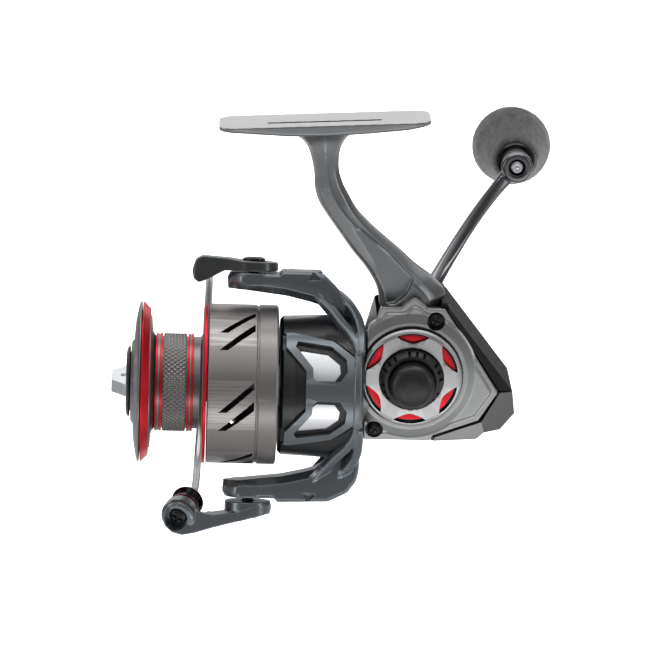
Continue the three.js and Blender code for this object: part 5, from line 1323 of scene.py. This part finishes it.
PANEL = [(-37.9, 50), (-37.8, 35.6), (-31.9, 16), (-31.9, -16), (-37.8, -35.6), (-37.9, -50), (-36, -50.5), (-24.2, -42.5), (-17.9, -27.5), (-17.6, 0), (-17.9, 27.5), (-24.2, 42.5), (-36, 50.5)]
WINDOW = [(-35.1, 36.7), (-34.4, 41.5), (-24.8, 37.2), (-20.4, 26), (-20.0, 16), (-22.0, 8.0), (-28.5, 7.6), (-29.9, 11), (-30.0, 18.5)]
for name, turn in (("near", 0), ("far", 180)):
    spin = lambda poly: [(x, a + turn) for x, a in poly]
    holes = [spin(WINDOW), spin([(x, -a) for x, a in WINDOW])]
    o = curved_plate([spin(PANEL)], holes, 20.05, 21.3, bevel=0.42, fil=0.35, segs=3)
    piece(o, "rotor_window_panel_" + name, ROTORP, "rotor_panel_" + name, ROTOR, sharp=40)
    o = curved_plate([spin([(-34.7, -42), (-19.6, -31), (-19.6, 31), (-34.7, 42), (-34.7, 29), (-31.0, 15.5), (-31.0, -15.5), (-34.7, -29)])], [], 18.7, 19.6, bevel=0.2)
    piece(o, "rotor_window_liner_" + name, LINER, "rotor_liner_" + name, ROTOR, sharp=40)
    o = curved_plate([spin([(-35.0, -30), (-31.1, -15.8), (-31.1, 15.8), (-35.0, 30)])], [], 18.7, 19.6, bevel=0.08)
    piece(o, "rotor_recess_infill_" + name, DRUM, "rotor_liner_" + name, ROTOR, sharp=40)
    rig.slot(o, "black_plastic")
    # Painted shade inside each window: a black ring over the liner, wider on the upper and rear sides where the window
    # walls shade it.
    for k, flip_ in enumerate((1, -1)):
        cx = sum(q[0] for q in WINDOW) / len(WINDOW)
        ca = sum(q[1] for q in WINDOW) / len(WINDOW)
        big = [(cx + (x - cx) * 1.07, ca + (a - ca) * 1.07) for x, a in WINDOW]
        small = [(cx - 0.5 + (x - cx) * 0.80, ca + (-2.2 if flip_ > 0 else 0.4) + (a - ca) * 0.80) for x, a in WINDOW]
        o = curved_plate([spin([(x, flip_ * a) for x, a in big])], [spin([(x, flip_ * a) for x, a in small])], 19.66, 20.0, bevel=0.06, fil=0.5)
        piece(o, "rotor_window_wall_" + name + "_" + str(k), WINDOW_PAINTED_SHADE, "rotor_liner_" + name, ROTOR, sharp=40)
        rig.slot(o, "black_plastic")

for name, sign in (("top", 1), ("bottom", -1)):
    lid = prism(fillet([(-38.1, -4.0), (-27.5, -4.0), (-27.5, 4.0), (-38.1, 4.0)], 0.8, 4), "z", 32.6, 33.9)
    bevelled(lid, 0.3, 2)
    boolean(lid, [rod("z", 1.5, 33.4, 36, (-36.2, 0)), rod("z", 1.5, 33.4, 36, (-29.4, 0))])
    if sign < 0:
        lid.data.transform(FLIP)
    piece(lid, "arm_cover_" + name + "_lid", ROTORP, "arm_cover_" + name, ROTOR)
    for k, x in enumerate((-36.2, -29.4)):
        s = lathe([(32.9, 0), (32.9, 1.35), (33.6, 1.35), (33.75, 1.0), (33.75, 0)], 48, "z", (x, 0), 0.1)
        boolean(s, prism([(x - 0.9, -0.2), (x + 0.9, -0.2), (x + 0.9, 0.2), (x - 0.9, 0.2)], "z", 33.45, 34))
        if sign < 0:
            s.data.transform(FLIP)
        piece(s, "arm_cover_" + name + "_screw_" + str(k), SCREW, "arm_cover_" + name, ROTOR)

# --------------------------------------------------------------------------
# Bail
# --------------------------------------------------------------------------
RA = Vector((0.27, 0.89, 0.36)).normalized()
BOSS = Vector((-68.0, -6.0, -39.1))
ROLL_FRAME = Matrix.Translation(BOSS) @ Vector((0, 1, 0)).rotation_difference(RA).to_matrix().to_4x4()


def along(t):
    return tuple(BOSS + RA * t)


def on_roller(profile, seg=96, fil=0.2, n=3):
    return lathe(profile, seg, "y", (0, 0), fil, ROLL_FRAME, n)


def plan(points, cx, cy):
    return sorted(points, key=lambda p: math.atan2(p[1] - cy, p[0] - cx))


low = [(-40.3, -36.9), (-42, -37.9), (-45.9, -38.8), (-49.8, -39.9), (-54.1, -41.0), (-58.2, -42.1), (-62.9, -43.6), (-66.6, -44.3), (-69.6, -43.6), (-71.8, -41.6), (-72.5, -39.0), (-71.4, -36.2), (-68.8, -34.8), (-66.8, -35.0), (-65.2, -36.0), (-62.4, -37.2), (-58.2, -38.1), (-50.8, -37.3), (-44.0, -35.2), (-40.6, -35.0)]
lever = prism(fillet(low, 1.5, 3), "y", -7.2, 7.2)
outline = plan([p for p in circle(PIVOT_X, 0, 7.0, 64) if p[0] > PIVOT_X - 3.5] + [(-56, 3.2), (-62, 1.0), (-66.0, -0.6), (-73.5, -2.6), (-73.5, -7.2), (-64, -7.0), (-58, -6.8)], -58, -2)
boolean(lever, prism(fillet(outline, 2.0, 3), "z", -50, -30), "INTERSECT")
cut = lathe([(4.5, 0), (4.5, 6.6), (18, 6.6), (18, 0)], 64, "y", (0, 0), 0, ROLL_FRAME)
boolean(lever, cut)
disc = rod("z", 6.8, -38.0, -34.3, (PIVOT_X, 0), 96)
hub = on_roller([(-0.7, 0), (-0.7, 4.3), (-0.2, 5.0), (1.0, 5.25), (4.6, 5.0), (4.6, 0)], fil=0.5)
lever = joined([lever, disc, hub])
remeshed(lever, 0.2, 9)
boolean(lever, [
    on_roller([(-3, 0), (-3, 3.2), (0.9, 3.2), (0.9, 0)], fil=0),
    on_roller([(-1, 0), (-1, 1.7), (6, 1.7), (6, 0)], fil=0),
    rod("z", 2.4, -46, -33, (PIVOT_X, 0)),
    rod("z", 3.7, -46, -38.0, (PIVOT_X, 0)),
])
piece(lever, "bail_arm_cast", ROTORP, "bail_arm", ROTOR, sharp=50, weighted=False)

s = lathe([(-39.6, 0), (-39.5, 2.4), (-39.1, 3.3), (-38.4, 3.3), (-38.4, 1.6), (-30.2, 1.6), (-30.2, 0)], 64, "z", (PIVOT_X, 0), 0.15)
boolean(s, prism([(PIVOT_X - 2.2, -0.3), (PIVOT_X + 2.2, -0.3), (PIVOT_X + 2.2, 0.3), (PIVOT_X - 2.2, 0.3)], "z", -41, -39.1))
piece(s, "bail_pivot_screw_bottom_head", SCREW, "bail_pivot_screw_bottom", ROTOR)
s = lathe([(37.5, 0), (37.4, 2.4), (37.0, 3.3), (35.8, 3.3), (35.8, 1.6), (30.2, 1.6), (30.2, 0)], 64, "z", (PIVOT_X, 0), 0.15)
boolean(s, prism([(PIVOT_X - 2.2, -0.3), (PIVOT_X + 2.2, -0.3), (PIVOT_X + 2.2, 0.3), (PIVOT_X - 2.2, 0.3)], "z", 37.0, 41))
piece(s, "bail_pivot_screw_top_head", SCREW, "bail_pivot_screw_top", ROTOR)

head = [(-65.6, 33.2), (-64.6, 36.4), (-62.7, 37.5), (-55.1, 37.0), (-50.8, 36.4), (-40.6, 36.0), (-40.2, 35.0), (-40.4, 33.4), (-56.2, 33.4), (-60.4, 31.0), (-63.6, 29.6), (-65.2, 30.8)]
holder = prism(fillet(head, [1.2, 1.2, 1.5, 3, 3, 0.8, 0.5, 0.3, 1.5, 2, 1.2, 1.2], 4), "y", -7.4, 7.4)
outline = plan([p for p in circle(PIVOT_X, 0, 7.2, 64) if p[0] > PIVOT_X - 3.5] + [(-56, 4.6), (-66, 3.8), (-66, -3.6), (-56, -4.6)], -56, 0)
boolean(holder, prism(fillet(outline, 2.2, 3), "z", 28, 40), "INTERSECT")
remeshed(holder, 0.2, 9)
boolean(holder, [
    rod("z", 2.4, 30, 40, (PIVOT_X, 0)),
    rod("z", 3.7, 35.4, 40, (PIVOT_X, 0)),
    tube([(-61.6, 8, 32.0), (-61.75, 4.75, 32.45), (-61.9, 1.5, 32.9)], 1.5, 12, 16),
])
piece(holder, "bail_holder_cast", HOLDER, "bail_holder", ROTOR, sharp=50, weighted=False)

wire = tube([along(14.5), (-63.2, 12.0, -32.6), (-62.8, 21.2, -30.6), (-62.5, 31.2, -25.2), (-61.9, 39.2, -15.0), (-61.3, 43.4, -2.0), (-60.8, 42.6, 11.2), (-60.5, 36.2, 22.0), (-60.4, 26.4, 28.8), (-60.6, 15.6, 31.6), (-61.2, 8.0, 32.0), (-61.75, 2.4, 32.8)], 1.12, 260, 28)
cone = on_roller([(10.95, 0), (10.95, 3.6), (11.3, 4.0), (12.3, 3.7), (15.0, 2.1), (17.0, 1.2), (17.0, 0)], fil=[0, 0.2, 0.3, 0.8, 1.5, 0.3, 0])
wire = joined([wire, cone])
piece(wire, "bail_wire_bent", WIRE, "bail_wire", ROTOR, sharp=50, weighted=False)

roller = on_roller([(5.1, 2.1), (5.1, 4.4), (5.4, 4.7), (5.9, 4.7), (7.0, 3.75), (8.8, 3.75), (9.9, 4.7), (10.3, 4.7), (10.6, 4.4), (10.6, 2.1)], fil=0.25)
piece(roller, "line_roller_grooved", ROLLER, "line_roller", ROTOR)
for k, h in enumerate((5.32, 10.2)):
    ringlet = on_roller([(h - 0.13, 4.2), (h - 0.13, 4.8), (h + 0.13, 4.8), (h + 0.13, 4.2)], fil=0.06)
    piece(ringlet, "line_roller_accent_" + str(k), DARKRED, "line_roller", ROTOR)
    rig.slot(bpy.data.objects["line_roller_accent_" + str(k)], "red_anodised")
screw = on_roller([(-0.5, 0), (-0.45, 1.6), (-0.1, 2.4), (0.3, 2.7), (0.7, 2.7), (0.7, 1.35), (10.6, 1.35), (10.6, 0)], 64, 0.15)
phillips(screw, ROLL_FRAME @ Matrix.Translation((0, -0.5, 0)), 1.7, 0.9, 0.32)
piece(screw, "roller_screw_head", SCREW, "roller_screw", ROTOR)

# --------------------------------------------------------------------------
# Spool
# --------------------------------------------------------------------------
spool = lathe([(-82.6, 9.8), (-82.7, 11.5), (-82.0, 12.4), (-81.6, 17.8), (-80.8, 22.2), (-80.5, 23.2), (-80.2, 23.6), (-79.9, 23.6), (-79.8, 20.0), (-76.9, 19.4), (-76.6, 15.2), (-76.2, 14.3), (-75.6, 13.5), (-62.6, 13.5), (-62.0, 14.3), (-61.9, 22.2), (-60.7, 22.2), (-60.7, 12.0), (-67.4, 12.0), (-67.4, 5.6), (-60.0, 5.6), (-60.0, 2.5), (-70.4, 2.5), (-70.4, 9.4), (-82.0, 9.4)], 256, "x", fil=[0.15, 0.25, 0.25, 0.4, 0.3, 0.2, 0.15, 0.1, 0.2, 0.4, 0.6, 0.6, 0.3, 0.3, 0.5, 0.2, 0.2, 0.2, 0.3, 0.2, 0.2, 0.1, 0.1, 0.1, 0.1])
piece(spool, "spool_body", SPOOL, "spool", sharp=40)
lip = lathe([(-79.6, 20.4), (-79.6, 23.5), (-79.3, 23.45), (-77.3, 21.5), (-77.3, 20.1)], 256, "x", fil=[0.05, 0.12, 0.15, 0.15, 0.05])
piece(lip, "spool_lip_ring_red", RED, "spool_lip_ring")
for end, a, b in (("front", -75.6, -73.6), ("rear", -66.3, -64.5)):
    lines = ((a, a + 0.55), (b - 0.6, b))
    r = lathe([(a, 13.7), (a, 14.3), (a + 0.1, 14.4), (lines[0][1], 14.4), (lines[0][1] + 0.12, 14.2), (lines[1][0] - 0.12, 14.2), (lines[1][0], 14.4), (b - 0.1, 14.4), (b, 14.3), (b, 13.7)], 224, "x", fil=0.0)
    piece(r, "arbor_ring_" + end + "_red", SPOOL, "arbor_ring_" + end)
    painted(r, RED, lambda c, n: math.hypot(c.y, c.z) > 14.0 and (lines[0][0] - 0.01 < c.x < lines[0][1] or lines[1][0] < c.x < lines[1][1] + 0.01))
    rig.slot(r, "red_anodised")
r = lathe([(-61.75, 22.5), (-61.75, 23.0), (-61.45, 23.5), (-60.75, 23.5), (-60.6, 23.3), (-60.6, 22.5)], 256, "x", fil=0.12)
piece(r, "skirt_ring_red", RED, "skirt_ring")


def knurled(x0, x1, r, depth, around, nx, na):
    """Diamond knurl: raised points where two families of helical ridges cross."""
    v, f = [], []
    k = around
    for i in range(nx + 1):
        x = x0 + (x1 - x0) * i / nx
        for j in range(na):
            a = 2 * math.pi * j / na
            u = (x - x0) / 1.75 + a * k / (2 * math.pi)
            w = (x - x0) / 1.75 - a * k / (2 * math.pi)
            tri = lambda q: abs((q % 1.0) * 2 - 1)
            hgt = min(tri(u), tri(w)) ** 0.8
            edge = min(1.0, (x - x0) / 0.25, (x1 - x) / 0.25)
            rad = r + depth * hgt * max(0.0, edge)
            v.append((x, rad * math.cos(a), rad * math.sin(a)))
    for i in range(nx):
        for j in range(na):
            q = (j + 1) % na
            f.append([i * na + j, i * na + q, (i + 1) * na + q, (i + 1) * na + j])
    base = len(v)
    for x in (x0, x1):
        v += [(x, 13.75 * math.cos(2 * math.pi * j / na), 13.75 * math.sin(2 * math.pi * j / na)) for j in range(na)]
    for j in range(na):
        q = (j + 1) % na
        f.append([j, base + j, base + q, q])
        f.append([nx * na + j, nx * na + q, base + na + q, base + na + j])
        f.append([base + j, base + na + j, base + na + q, base + q])
    return raw(v, f)


band = knurled(-73.35, -66.55, 14.1, 0.34, 66, 84, 660)
piece(band, "arbor_grip_band_knurled", KNURL, "arbor_grip_band", sharp=0, weighted=False)

skirt = lathe([(-60.35, 19.8), (-60.35, 23.1), (-60.1, 23.4), (-46.35, 23.4), (-46.2, 23.1), (-45.9, 22.98), (-45.6, 23.1), (-45.45, 23.4), (-40.5, 23.4), (-40.0, 23.0), (-40.0, 21.5), (-58.4, 21.5), (-58.4, 19.8)], 288, "x", fil=[0.1, 0.15, 0.15, 0.1, 0.1, 0.1, 0.1, 0.1, 0.2, 0.1, 0.1, 0.2, 0.1], n=2)
tools = []
for k in range(6):
    a = 57.5 + 60 * k
    for sl in ([(-57.2, 0), (-54.7, 0), (-46.8, 17.4), (-46.8, 22.8)], [(-57.2, -14.6), (-54.7, -14.6), (-46.8, 1.8), (-46.8, 8.8)]):
        tools.append(wedge([(x, a + b) for x, b in sl], 18, 30))
boolean(skirt, tools)
piece(skirt, "spool_skirt_slotted", SKIRT, "spool_skirt", sharp=30)
# The inside of the skirt and the walls of its slots are painted black: painted shade inside the skirt and in the slots.
painted(skirt, BLACK, lambda c, n: math.hypot(c.y, c.z) < 22.85 or (-57.6 < c.x < -46.6 and (n.y * c.y + n.z * c.z) / math.hypot(c.y, c.z) < 0.5))

# --------------------------------------------------------------------------
# Drag knob
# --------------------------------------------------------------------------
knob = lathe([(-84.1, 0), (-84.1, 8.6), (-83.9, 9.6), (-83.5, 10.3), (-83.0, 10.35), (-83.0, 8.6), (-80.4, 8.6), (-80.4, 3.6), (-82.6, 3.6), (-82.6, 0)], 192, "x", fil=0.25)
boolean(knob, [block(-90, -82.7, -9.3, 9.3, -2.15, 2.15), rod("x", 2.4, -90, -80)])
tools = []
for k in range(40):
    a = 2 * math.pi * k / 40
    if abs(math.sin(a)) > 0.34:
        tools.append(rod("x", 0.22, -84.6, -82.9, (10.4 * math.cos(a), 10.4 * math.sin(a)), 12))
boolean(knob, joined(tools))
piece(knob, "drag_knob_disc", BLACK, "drag_knob", sharp=35)
bar = prism(fillet([(-83.0, -8.8), (-84.6, -8.4), (-86.2, -6.6), (-88.2, -4.8), (-88.4, -4.0), (-88.4, 4.0), (-88.2, 4.8), (-86.2, 6.6), (-84.6, 8.4), (-83.0, 8.8)], [0.3, 1, 1.5, 0.6, 0.5, 0.5, 0.6, 1.5, 1, 0.3], 4), "z", -1.85, 1.85)
boolean(bar, rod("x", 2.2, -85.6, -80))
bevelled(bar, 0.6, 4, 40)
piece(bar, "drag_bar_smooth", BRIGHT, "drag_bar", sharp=0)

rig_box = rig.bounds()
json.dump(
    {
        "cad": [list(cad_box[0]), list(cad_box[1])],
        "visual": [list(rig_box[0]), list(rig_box[1])],
    },
    open("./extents.json", "w"),
)
